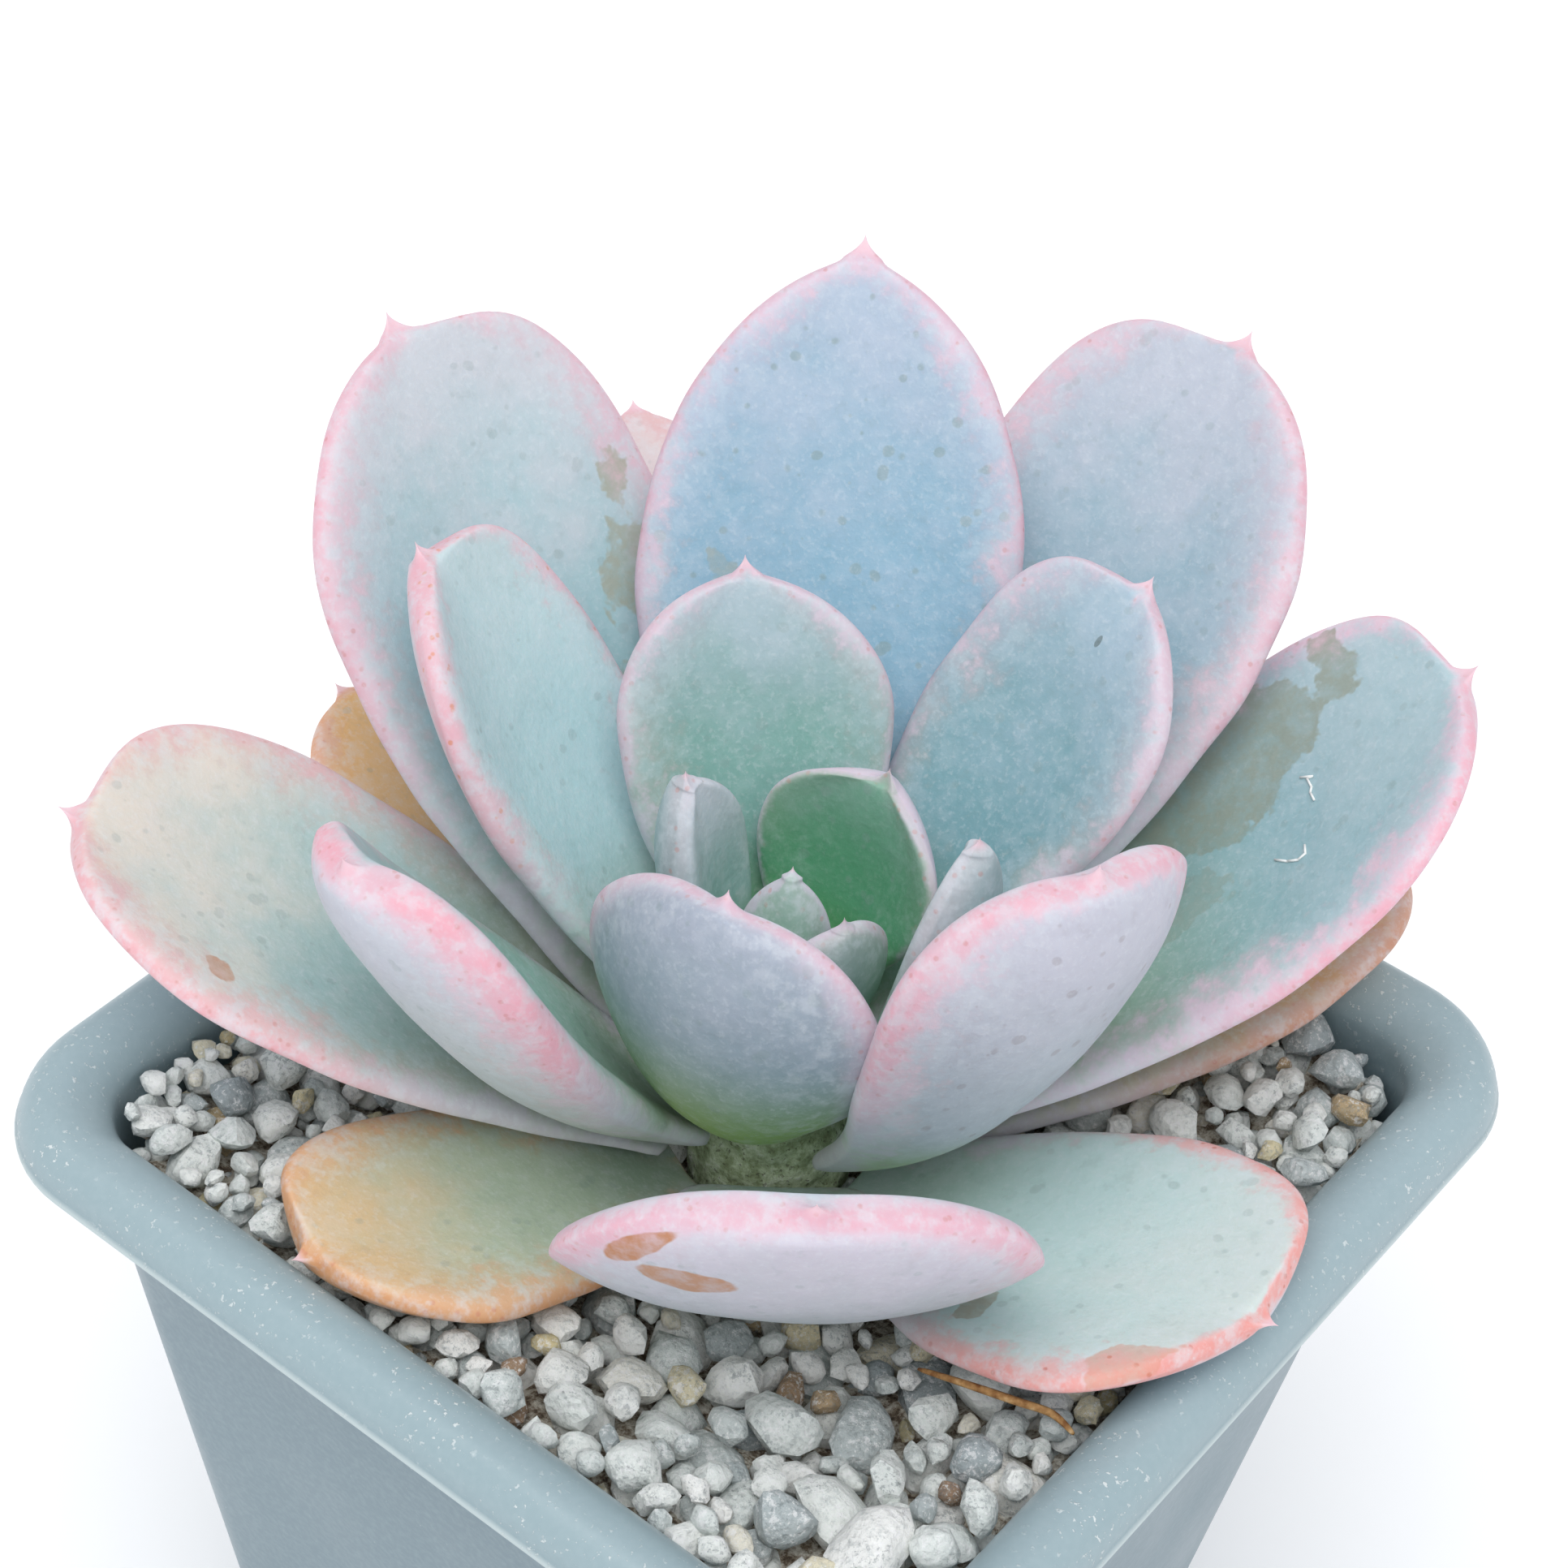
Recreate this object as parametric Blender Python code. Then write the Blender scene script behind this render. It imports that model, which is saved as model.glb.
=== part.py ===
"""Rosette succulent in a square plastic nursery pot, filled with potting mix and topped with pumice grit.

Metres, +Z up. The origin is the centre of the pot's base, and X and Y run along the pot's sides.
"""

import math
import random

import bmesh
import bpy
from mathutils import Matrix, Quaternion, Vector, noise

MM = 0.001
SEATING_GAP = 0.3 * MM  # between two solids that touch

# Pot
POT_WIDTH = 75 * MM  # across the lip
POT_HEIGHT = 73 * MM  # base to the crest of the rim
POT_WALL = 1.2 * MM
POT_FLOOR = 1.6 * MM
WALL_DRAFT = 0.114  # how far the wall leans in for each unit down
WALL_CORNER = 5.0 * MM
BASE_CORNER = 1.2 * MM  # bevel round the foot
LIP_CORNER = 9.4 * MM
LIP_OVERHANG = 4.5 * MM  # lip to the wall below it
RIM_RISE = 3.0 * MM  # lip's edge to the crest
RIM_CREST = 2.4 * MM  # lip to the crest, measured inwards
DRAIN_HOLE = 6.5 * MM  # diameter
DRAIN_SPACING = 27 * MM

# Fillings
GRIT_BELOW_CREST = 8 * MM  # crest to the surface that the plant sits on
GRIT_STONE = 4.4 * MM  # mean size of the loose stones
GRIT_DEPTH = 7 * MM  # bed under the loose stones
STONE_BURIED = 0.55  # share of a stone that lies below the surface
STONE_FROM_WALL = 1.1  # wall to a stone's centre, in stones
STONE_ROUGHNESS = 0.22
STONE_COUNT = 20
STONE_SEED = 11
FILL_CLEARANCE = 0.3 * MM

# Dry fibre on the grit, as points in mm from the pot's axis and above the bed
FIBRE_COURSE = ((19.6, -7.8, 0), (22.2, -7.9, 2.4), (25.2, -7.2, 3.4), (27.8, -6.4, 2.4), (29.6, -6.2, 0))
FIBRE_RADIUS = 0.3 * MM
FIBRE_END = 0.5  # radius at the ends, as a share
FIBRE_SIDES = 8

# Stem and root, as (height above the grit, radius)
STEM_PROFILE = (
    (-26, 0.7),
    (-20, 1.8),
    (-12, 3.2),
    (-6, 4.6),
    (-3, 5.6),
    (1, 5.6),
    (6, 4.8),
    (10, 3.6),
    (13.5, 2.4),
    (16, 1.2),
)
STEM_SIDES = 16

# Leaves
LEAF_SPIKE = 0.5 * MM  # the horny point at the tip, longer on a wider leaf
LEAF_SPIKE_GROWTH = 0.045  # length added for each unit of the leaf's width
LEAF_NECK = 0.42  # width at the stem, as a share of the blade's
LEAF_STATIONS = (0, 0.08, 0.2, 0.34, 0.48, 0.6, 0.72, 0.82, 0.9, 0.955, 0.988)
LEAF_SPIKE_WIDTH = 0.45  # half the width at the spike's foot, as a share of its length
LEAF_SPIKE_THICKNESS = 0.3  # share of the blade's thickness
LEAF_STEM_GAP = 0.65 * MM
LEAF_SWELL = 1.3  # how late the blade widens: more than 1 keeps it narrow near the stem
LEAF_SEAT_THICKNESS = 0.5  # thickness at the stem, as a share of the blade's
LEAF_FULL_AT = 0.4  # share of the length where the blade is thickest
LEAF_THINNING = 0.3  # share of the thickness lost from there to the end
LEAF_TOP_SHARE = 0.5  # of the thickness that lies above the margin line
LEAF_TOP_SIDES = (1, 0.9, 0.55, 0, -0.55, -0.9)  # points across the top, in half widths
LEAF_BOTTOM_SIDES = (-1, -0.85, -0.5, 0, 0.5, 0.85)
LEAF_TOP_FULLNESS = 10  # exponent of the section: a higher one has squarer shoulders
LEAF_BOTTOM_FULLNESS = 2.6

# Name, bearing of the tip in degrees from +X, height of its seat on the stem, reach of the tip
# from the stem's axis and height of the tip above the grit in mm, bow in degrees (how much the
# leaf turns up from seat to tip), width and thickness in mm, cup (how far the margins stand up,
# as a share of the half width), roll in degrees, bluntness of the end, and where the blade is
# widest, as a share of its length.
LEAVES = (
    ("leaf_old_back_left", 176, -0.2, 43, 14, 5, 19, 3.4, 0.15, 0, 2.2, 0.64),
    ("leaf_old_right", 60, -1.0, 47, 13.5, 5, 18, 3.4, 0.15, 0, 2.2, 0.64),
    ("leaf_old_front_left", -110, 0.3, 35, 8, 5, 18.5, 3.6, 0.15, 0, 2.8, 0.66),
    ("leaf_old_front_right", 1, 0.1, 38, 12, 5, 24, 3.6, 0.15, 0, 2.8, 0.68),
    ("leaf_low_back", 142, 1.9, 51, 25, 10, 19, 3.6, 0.15, 0, 1.8, 0.64),
    ("leaf_outer_left", -148, 2.4, 47, 23, 12, 26, 4.2, 0.2, 4, 3.0, 0.7),
    ("leaf_outer_front", -50, 2.5, 31, 27, 55, 29, 5.4, 0.3, 0, 3.0, 0.64),
    ("leaf_outer_right", 58, 2.8, 46.5, 32.5, 30, 24.5, 4.2, 0.2, -12, 3.0, 0.72),
    ("leaf_outer_back_left", 166, 4.6, 47, 40, 20, 28, 4.2, 0.15, 6, 2.5, 0.64),
    ("leaf_outer_back_right", 92, 6.0, 51, 40, 20, 27, 4.2, 0.15, -8, 2.6, 0.66),
    ("leaf_outer_back", 124, 8.2, 41, 46, 26, 26, 4.2, 0.15, 0, 1.6, 0.6),
    ("leaf_middle_front_left", -120, 5.5, 29, 35, 40, 19, 5.2, 0.25, 24, 3.0, 0.64),
    ("leaf_middle_front_right", 5, 5.2, 20, 38, 50, 22, 5.2, 0.25, -30, 2.8, 0.64),
    ("leaf_middle_left", -175, 9.6, 30, 37, 28, 19.5, 4.2, 0.25, 20, 2.6, 0.68),
    ("leaf_middle_back_right", 78, 10.5, 29, 36, 26, 18, 4.0, 0.2, 0, 2.6, 0.68),
    ("leaf_middle_back", 140, 12.1, 20, 35, 26, 18.5, 4.0, 0.2, 0, 2.1, 0.64),
    ("leaf_inner_front", -78, 7.7, 10, 32.5, 65, 19.6, 3.8, 0.35, -8, 2.6, 0.64),
    ("leaf_inner_right", 13, 8.9, 11.5, 34, 40, 10, 3.6, 0.3, 0, 2.2, 0.6),
    ("leaf_inner_left", -167, 13.3, 8, 30.5, 28, 8.5, 3.6, 0.3, 0, 2.2, 0.6),
    ("leaf_inner_back", 89, 13.8, 9, 28.5, 45, 14.5, 2.8, 0.4, 0, 2.2, 0.62),
    ("leaf_bud_right", -20, 13.5, 5.5, 26.5, 50, 9, 2.2, 0.4, 0, 2.2, 0.6),
    ("leaf_bud", -62, 15.0, 2, 28, 50, 6, 2.0, 0.4, 0, 1.9, 0.6),
)

CORNER_STEPS = 6  # on each corner of a loop round the pot
SIDE_STEPS = 3  # on each straight side of it
RING_POINTS = 4 * (CORNER_STEPS + SIDE_STEPS)
RIM_STEPS = 4  # on each quarter of the rolled rim

LIP_HEIGHT = POT_HEIGHT - RIM_RISE
GRIT_LEVEL = POT_HEIGHT - GRIT_BELOW_CREST
BED_TOP = GRIT_LEVEL - STONE_BURIED * GRIT_STONE
BED_BOTTOM = BED_TOP - GRIT_DEPTH
INNER_INSET = LIP_OVERHANG + POT_WALL  # lip to the wall's inner face


def clear_scene():
    for old in list(bpy.data.objects):
        bpy.data.objects.remove(old)


def make_material(name, colour, roughness):
    material = bpy.data.materials.new(name)
    material.use_nodes = True
    shader = material.node_tree.nodes["Principled BSDF"]
    shader.inputs["Base Color"].default_value = (*colour, 1)
    shader.inputs["Roughness"].default_value = roughness
    shader.inputs["Metallic"].default_value = 0
    return material


def add_object(name, mesh_builder, material, smooth=True):
    bmesh.ops.recalc_face_normals(mesh_builder, faces=mesh_builder.faces)
    mesh = bpy.data.meshes.new(name)
    mesh_builder.to_mesh(mesh)
    mesh_builder.free()
    mesh.materials.append(material)
    if smooth:
        mesh.shade_smooth()
        mesh.set_sharp_from_angle(angle=math.radians(50))
    made = bpy.data.objects.new(name, mesh)
    bpy.context.scene.collection.objects.link(made)
    return made


def loft(rings, tip=None):
    """Closed body through rings of equally many points, capped at both ends, or drawn to a tip."""
    made = bmesh.new()
    loops = [[made.verts.new(point) for point in ring] for ring in rings]
    count = len(loops[0])
    for lower, upper in zip(loops, loops[1:]):
        for i in range(count):
            j = (i + 1) % count
            made.faces.new((lower[i], lower[j], upper[j], upper[i]))
    made.faces.new(loops[0][::-1])
    if tip is None:
        made.faces.new(loops[-1])
    else:
        end = made.verts.new(tip)
        for i in range(count):
            made.faces.new((loops[-1][i], loops[-1][(i + 1) % count], end))
    return made


# Loops round the pot


def wall_inset(height):
    """How far the wall's outer face lies inside the lip at this height."""
    return LIP_OVERHANG + (LIP_HEIGHT - height) * WALL_DRAFT


def square_ring(inset, height):
    """Rounded square that lies this far inside the lip: each quarter is a corner, then a side."""
    half = POT_WIDTH / 2 - inset
    corner = max(LIP_CORNER - inset, WALL_CORNER)
    ring = []
    for quarter in range(4):
        turn = Matrix.Rotation(math.pi / 2 * quarter, 2)
        for i in range(CORNER_STEPS + 1):
            angle = math.pi / 2 * i / CORNER_STEPS
            arm = Vector((math.cos(angle), math.sin(angle)))
            ring.append(turn @ (Vector((half - corner,) * 2) + corner * arm))
        for i in range(1, SIDE_STEPS):
            along = (half - corner) * (1 - 2 * i / SIDE_STEPS)
            ring.append(turn @ Vector((along, half)))
    return [Vector((*point, height)) for point in ring]


def round_ring(radius, height):
    """Circle with as many points as square_ring, each facing its partner there."""
    ring = []
    for i in range(RING_POINTS):
        angle = math.pi / 4 + 2 * math.pi * (i - CORNER_STEPS / 2) / RING_POINTS
        ring.append(Vector((radius * math.cos(angle), radius * math.sin(angle), height)))
    return ring


# Pot


def rim_arc(outer, inner, rise, start, end):
    """Rings along the rolled rim's section, whose insets run from outer over the crest to inner."""
    rings = []
    for i in range(2 * RIM_STEPS + 1):
        angle = start + (end - start) * i / (2 * RIM_STEPS)
        reach = RIM_CREST - outer if angle < math.pi / 2 else inner - RIM_CREST
        inset = RIM_CREST - reach * math.cos(angle)
        rings.append(square_ring(inset, LIP_HEIGHT + rise * math.sin(angle)))
    return rings


def build_pot(material):
    foot = wall_inset(0)
    rings = [
        square_ring(foot + BASE_CORNER, 0),
        square_ring(foot, BASE_CORNER),
        square_ring(wall_inset(LIP_HEIGHT), LIP_HEIGHT),
    ]
    under = RIM_RISE - POT_WALL
    rings += rim_arc(POT_WALL, LIP_OVERHANG, under, math.pi, 0)[1:]
    rings += rim_arc(0, INNER_INSET, RIM_RISE, 0, math.pi)
    floor_inset = wall_inset(POT_FLOOR) + POT_WALL
    rings += [
        square_ring(floor_inset, POT_FLOOR + BASE_CORNER),
        square_ring(floor_inset + BASE_CORNER, POT_FLOOR),
    ]
    pot = add_object("pot", loft(rings), material)

    cutter = bmesh.new()
    for x in (-DRAIN_SPACING / 2, DRAIN_SPACING / 2):
        for y in (-DRAIN_SPACING / 2, DRAIN_SPACING / 2):
            bmesh.ops.create_cone(
                cutter,
                cap_ends=True,
                segments=20,
                radius1=DRAIN_HOLE / 2,
                radius2=DRAIN_HOLE / 2,
                depth=4 * POT_FLOOR,
                matrix=Matrix.Translation((x, y, POT_FLOOR / 2)),
            )
    holes = add_object("drain_hole_cutter", cutter, material)
    holes.hide_render = True
    holes.display_type = "WIRE"
    cut = pot.modifiers.new("drain_holes", "BOOLEAN")
    cut.object = holes
    cut.operation = "DIFFERENCE"
    cut.solver = "EXACT"


# Stem, potting mix and grit


def stem_radius(height):
    """Radius at a height above the grit."""
    levels = [(MM * z, MM * radius) for z, radius in STEM_PROFILE]
    for (low, r_low), (high, r_high) in zip(levels, levels[1:]):
        if height <= high:
            return r_low + (r_high - r_low) * max(0, height - low) / (high - low)
    return levels[-1][1]


def build_stem(material):
    rings = []
    for z, radius in STEM_PROFILE:
        ring = []
        for i in range(STEM_SIDES):
            angle = 2 * math.pi * i / STEM_SIDES
            spot = (MM * radius * math.cos(angle), MM * radius * math.sin(angle))
            ring.append(Vector((*spot, GRIT_LEVEL + MM * z)))
        rings.append(ring)
    add_object("stem_and_root", loft(rings), material)


def fill_rings(bottom, top):
    """Outer rings of a filling that stands clear of the pot's wall."""
    rings = []
    for height in (bottom, top):
        rings.append(square_ring(wall_inset(height) + POT_WALL + FILL_CLEARANCE, height))
    return rings


def build_potting_mix(material):
    bottom = POT_FLOOR + FILL_CLEARANCE
    top = BED_BOTTOM - SEATING_GAP
    rings = fill_rings(bottom + BASE_CORNER, top)
    rings.insert(0, square_ring(wall_inset(bottom) + POT_WALL + BASE_CORNER + FILL_CLEARANCE, bottom))
    for z, radius in reversed(STEM_PROFILE):
        height = GRIT_LEVEL + MM * z
        if height < top:
            rings.append(round_ring(MM * radius + 2 * FILL_CLEARANCE, height))
    height_of_hole = top - GRIT_LEVEL
    rings.insert(3, round_ring(stem_radius(height_of_hole) + 2 * FILL_CLEARANCE, top))
    rings.append(round_ring(MM * STEM_PROFILE[0][1], rings[-1][0].z - 2 * FILL_CLEARANCE))
    add_object("potting_mix", loft(rings), material)


def build_grit_bed(material):
    hole = max(MM * radius for _, radius in STEM_PROFILE) + 2 * FILL_CLEARANCE
    rings = [round_ring(hole, BED_BOTTOM)]
    rings += fill_rings(BED_BOTTOM, BED_TOP)
    rings.append(round_ring(hole, BED_TOP))
    made = bmesh.new()
    loops = [[made.verts.new(point) for point in ring] for ring in rings]
    for lower, upper in zip(loops, loops[1:] + loops[:1]):
        for i in range(RING_POINTS):
            j = (i + 1) % RING_POINTS
            made.faces.new((lower[i], lower[j], upper[j], upper[i]))
    add_object("grit_bed", made, material)


def build_stones(material):
    """Larger loose stones round the edge of the bed, one to each equal stretch of a square path."""
    rng = random.Random(STONE_SEED)
    inset = wall_inset(BED_TOP) + POT_WALL + STONE_FROM_WALL * GRIT_STONE
    half = POT_WIDTH / 2 - inset
    for number in range(STONE_COUNT):
        walk = 4 * (number + 0.5) / STONE_COUNT
        side = int(walk)
        along = half * (2 * (walk - side) - 1)
        spot = Matrix.Rotation(math.pi / 2 * side, 2) @ Vector((half, along))
        made = bmesh.new()
        bmesh.ops.create_icosphere(made, subdivisions=1, radius=GRIT_STONE / 2)
        shift = Vector((number, 2 * number, 3 * number))
        for vert in made.verts:
            vert.co *= 1 + STONE_ROUGHNESS * noise.noise(vert.co / (0.6 * GRIT_STONE) + shift)
        size = Vector((rng.uniform(0.95, 1.3), rng.uniform(0.8, 1.05), rng.uniform(0.7, 0.95)))
        bmesh.ops.scale(made, vec=size, verts=made.verts)
        turn = Matrix.Rotation(rng.uniform(0, 2 * math.pi), 3, "Z")
        bmesh.ops.rotate(made, cent=(0, 0, 0), matrix=turn, verts=made.verts)
        lift = BED_TOP + SEATING_GAP - min(vert.co.z for vert in made.verts)
        bmesh.ops.translate(made, vec=(*spot, lift), verts=made.verts)
        add_object(f"grit_stone_{number + 1:02d}", made, material)


def build_fibre(material):
    foot = BED_TOP + SEATING_GAP + FIBRE_RADIUS
    course = [Vector((MM * x, MM * y, foot + MM * z)) for x, y, z in FIBRE_COURSE]
    rings = []
    for i, spot in enumerate(course):
        ahead = course[min(i + 1, len(course) - 1)] - course[max(i - 1, 0)]
        frame = ahead.to_track_quat("Z", "Y")
        is_end = i in (0, len(course) - 1)
        radius = FIBRE_RADIUS * (FIBRE_END if is_end else 1)
        ring = []
        for j in range(FIBRE_SIDES):
            angle = 2 * math.pi * j / FIBRE_SIDES
            ring.append(spot + frame @ Vector((radius * math.cos(angle), radius * math.sin(angle), 0)))
        rings.append(ring)
    add_object("dry_fibre", loft(rings), material)


# Leaves


def leaf_outline(share, widest, bluntness):
    """Half width, as a share of the widest, at a share of the blade's length."""
    if share < widest:
        swell = math.sin(math.pi / 2 * share / widest) ** LEAF_SWELL
        return LEAF_NECK + (1 - LEAF_NECK) * swell
    past = (share - widest) / (1 - widest)
    return max(0, 1 - past**2) ** (1 / bluntness)


def leaf_thickness(share):
    """Thickness, as a share of the greatest: thin where it clasps the stem, blunt at the end."""
    if share < LEAF_FULL_AT:
        swell = math.sin(math.pi / 2 * share / LEAF_FULL_AT)
        return LEAF_SEAT_THICKNESS + (1 - LEAF_SEAT_THICKNESS) * swell
    return 1 - LEAF_THINNING * ((share - LEAF_FULL_AT) / (1 - LEAF_FULL_AT)) ** 3


def leaf_section(half_width, thickness, cup):
    """(across, up) points round a section, from one margin to the other over the top and back."""
    points = []
    for across in LEAF_TOP_SIDES:
        skin = LEAF_TOP_SHARE * thickness * (1 - across**LEAF_TOP_FULLNESS)
        points.append((across * half_width, cup * half_width * across**2 + skin))
    for across in LEAF_BOTTOM_SIDES:
        skin = (1 - LEAF_TOP_SHARE) * thickness * (1 - abs(across) ** LEAF_BOTTOM_FULLNESS)
        points.append((across * half_width, cup * half_width * across**2 - skin))
    return points


def leaf_seat(height, tip, bend, thickness):
    """(out, up) where the blade starts: its end, square to it, stands just clear of the stem."""
    chord = tip - Vector((stem_radius(height), height))
    rise = math.atan2(chord.y, chord.x) - bend / 2
    half = LEAF_SEAT_THICKNESS * thickness / 2
    clear = LEAF_STEM_GAP + half * abs(math.sin(rise))
    return Vector((stem_radius(height - half * math.cos(rise)) + clear, height))


def build_leaf(spec, material):
    name, bearing, seat, reach, height, bow, width, thickness, cup, roll, bluntness, widest = spec
    width *= MM
    thickness *= MM
    out = Vector((math.cos(math.radians(bearing)), math.sin(math.radians(bearing)), 0))
    side = Vector((0, 0, 1)).cross(out)
    bend = math.radians(bow)
    start = leaf_seat(MM * seat, Vector((MM * reach, MM * height)), bend, thickness)
    chord = Vector((MM * reach, MM * height)) - start
    rise = math.atan2(chord.y, chord.x) - bend / 2
    radius = chord.length / (2 * math.sin(bend / 2))
    length = radius * bend
    spike = LEAF_SPIKE + LEAF_SPIKE_GROWTH * width
    blade = length - spike

    def spine(along):
        turned = rise + along / radius
        run = start.x + radius * (math.sin(turned) - math.sin(rise))
        up = GRIT_LEVEL + start.y + radius * (math.cos(rise) - math.cos(turned))
        ahead = out * math.cos(turned) + Vector((0, 0, math.sin(turned)))
        return out * run + Vector((0, 0, up)), ahead

    sections = []
    for share in LEAF_STATIONS:
        half_width = leaf_outline(share, widest, bluntness) * width / 2
        sections.append((share * blade, half_width, leaf_thickness(share) * thickness))
    sections.append((blade, LEAF_SPIKE_WIDTH * spike, LEAF_SPIKE_THICKNESS * thickness))
    rings = []
    for along, half_width, thick in sections:
        centre, ahead = spine(along)
        twist = Quaternion(ahead, math.radians(roll) * along / length)
        across = twist @ side
        upward = ahead.cross(across)
        ring = leaf_section(half_width, thick, cup)
        rings.append([centre + across * u + upward * v for u, v in ring])
    add_object(name, loft(rings, spine(length)[0]), material)


def build():
    clear_scene()
    plastic = make_material("grey_blue_plastic", (0.23, 0.32, 0.35), 0.45)
    soil = make_material("potting_mix", (0.05, 0.035, 0.025), 0.95)
    pumice = make_material("pumice", (0.55, 0.54, 0.5), 0.9)
    green = make_material("young_leaf", (0.2, 0.4, 0.26), 0.55)
    blue = make_material("grown_leaf", (0.4, 0.55, 0.55), 0.6)
    orange = make_material("old_leaf", (0.75, 0.48, 0.28), 0.6)
    bark = make_material("stem", (0.3, 0.38, 0.2), 0.7)
    straw = make_material("dry_fibre", (0.6, 0.42, 0.2), 0.8)
    build_pot(plastic)
    build_potting_mix(soil)
    build_grit_bed(pumice)
    build_stones(pumice)
    build_fibre(straw)
    build_stem(bark)
    for spec in LEAVES:
        kind = spec[0].split("_")[1]
        build_leaf(spec, {"old": orange, "inner": green, "bud": green}.get(kind, blue))


build()
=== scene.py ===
# Rosette succulent in a square nursery pot, dressed with pumice grit.
import math
import random
from functools import partial
from types import SimpleNamespace

import bmesh
import bpy
import numpy as np
from mathutils import Matrix, Quaternion, Vector, noise
from mathutils.bvhtree import BVHTree


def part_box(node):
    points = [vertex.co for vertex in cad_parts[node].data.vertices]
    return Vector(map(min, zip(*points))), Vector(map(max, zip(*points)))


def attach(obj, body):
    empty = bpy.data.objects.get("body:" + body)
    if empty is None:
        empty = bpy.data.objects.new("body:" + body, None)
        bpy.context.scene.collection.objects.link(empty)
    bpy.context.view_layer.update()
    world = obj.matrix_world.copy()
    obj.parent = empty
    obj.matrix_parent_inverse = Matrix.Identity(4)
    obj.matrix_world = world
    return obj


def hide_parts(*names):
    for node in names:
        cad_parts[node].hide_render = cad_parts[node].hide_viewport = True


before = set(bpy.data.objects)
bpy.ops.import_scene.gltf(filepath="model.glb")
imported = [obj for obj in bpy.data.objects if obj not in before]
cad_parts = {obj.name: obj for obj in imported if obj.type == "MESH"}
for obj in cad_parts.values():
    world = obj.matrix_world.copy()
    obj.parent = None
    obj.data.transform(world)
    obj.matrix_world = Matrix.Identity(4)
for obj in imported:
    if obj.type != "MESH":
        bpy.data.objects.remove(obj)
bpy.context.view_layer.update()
print("frame:", len(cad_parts), "nodes")

mm = 0.001
potLow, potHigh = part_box("pot")
bedLow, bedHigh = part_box("grit_bed")
potHeight = potHigh.z
potWidth = potHigh.x - potLow.x
rimRise = 3.0  # mm from the lip's edge up to the rim's crest
lipHeight = potHeight - rimRise * mm


# Shared helpers


def linear(hexColour):
    # sRGB hex to the linear colour that sockets take
    values = [int(hexColour[i : i + 2], 16) / 255 for i in (1, 3, 5)]
    return [v / 12.92 if v <= 0.04045 else ((v + 0.055) / 1.055) ** 2.4 for v in values] + [1]


def addNode(tree, kind, sockets=None, out=0, stops=None, **settings):
    # One node with its settings, its links and the output that the caller wants
    made = tree.nodes.new("ShaderNode" + kind)
    for key, value in settings.items():
        setattr(made, key, value)
    for key, value in (sockets or {}).items():
        if isinstance(value, bpy.types.NodeSocket):
            tree.links.new(value, made.inputs[key])
        else:
            made.inputs[key].default_value = linear(value) if isinstance(value, str) else value
    if stops:
        ramp = made.color_ramp.elements
        while len(ramp) < len(stops):
            ramp.new(1)
        for element, (place, colour) in zip(ramp, stops):
            element.position = place
            element.color = linear(colour)
    return made.outputs[out]


def paint(tree, base, coats):
    # Coats of (colour, mask, strength) over a base colour
    for colour, mask, strength in coats:
        share = addNode(tree, "Math", {0: mask, 1: strength}, operation="MULTIPLY", use_clamp=True)
        base = addNode(tree, "Mix", {0: share, 6: base, 7: colour}, out=2, data_type="RGBA")
    return base


def newMaterial(name, **values):
    # A Principled material and its tree, with the values that are the same all over
    made = bpy.data.materials.new(name)
    made.use_nodes = True
    shader = made.node_tree.nodes["Principled BSDF"]
    for key, value in values.items():
        shader.inputs[key.replace("_", " ")].default_value = value
    return made, made.node_tree, shader


def nodeKit(tree, shader):
    # Short calls for the nodes that the materials share. Sizes of noise are in mm
    add = partial(addNode, tree)
    place = add("Mapping", {"Vector": add("TexCoord", out="Object"), "Scale": (1000, 1000, 1000)})

    def level(value, low, high, start=0, end=1, **settings):
        return add("MapRange", {0: value, 1: low, 2: high, 3: start, 4: end}, **settings)

    def maths(operation, first, *others):
        for other in others:
            first = add("Math", {0: first, 1: other}, operation=operation)
        return first

    def cloudy(size, detail, roughness=0.5):
        sockets = {"Vector": place, "Scale": 1 / size, "Detail": detail, "Roughness": roughness}
        return add("TexNoise", sockets)

    def bump(height, strength, depth, over=None):
        under = {} if over is None else {"Normal": over}
        return add("Bump", {"Height": height, "Strength": strength, "Distance": depth, **under})

    return SimpleNamespace(
        add=add,
        place=place,
        level=level,
        fade=partial(level, interpolation_type="SMOOTHSTEP"),
        maths=maths,
        times=partial(maths, "MULTIPLY"),
        plus=partial(maths, "ADD"),
        cloudy=cloudy,
        bump=bump,
        mixed=lambda share, a, b: add("Mix", {0: share, 6: a, 7: b}, out=2, data_type="RGBA"),
        marked=lambda name: add("Attribute", out="Fac", attribute_name=name),
        feed=lambda key, value: tree.links.new(value, shader.inputs[key]),
    )


def unitSheet(around, rows):
    # A flat grid from -0.5 to 0.5, ready to be rolled up
    mesh = bmesh.new()
    bmesh.ops.create_grid(mesh, x_segments=around, y_segments=rows, size=0.5)
    return mesh


def closeSkin(mesh):
    # Joins a rolled-up sheet along its seam and closes its ends
    bmesh.ops.remove_doubles(mesh, verts=mesh.verts, dist=1e-6)
    bmesh.ops.holes_fill(mesh, edges=[e for e in mesh.edges if e.is_boundary], sides=0)
    bmesh.ops.recalc_face_normals(mesh, faces=mesh.faces)


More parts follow.
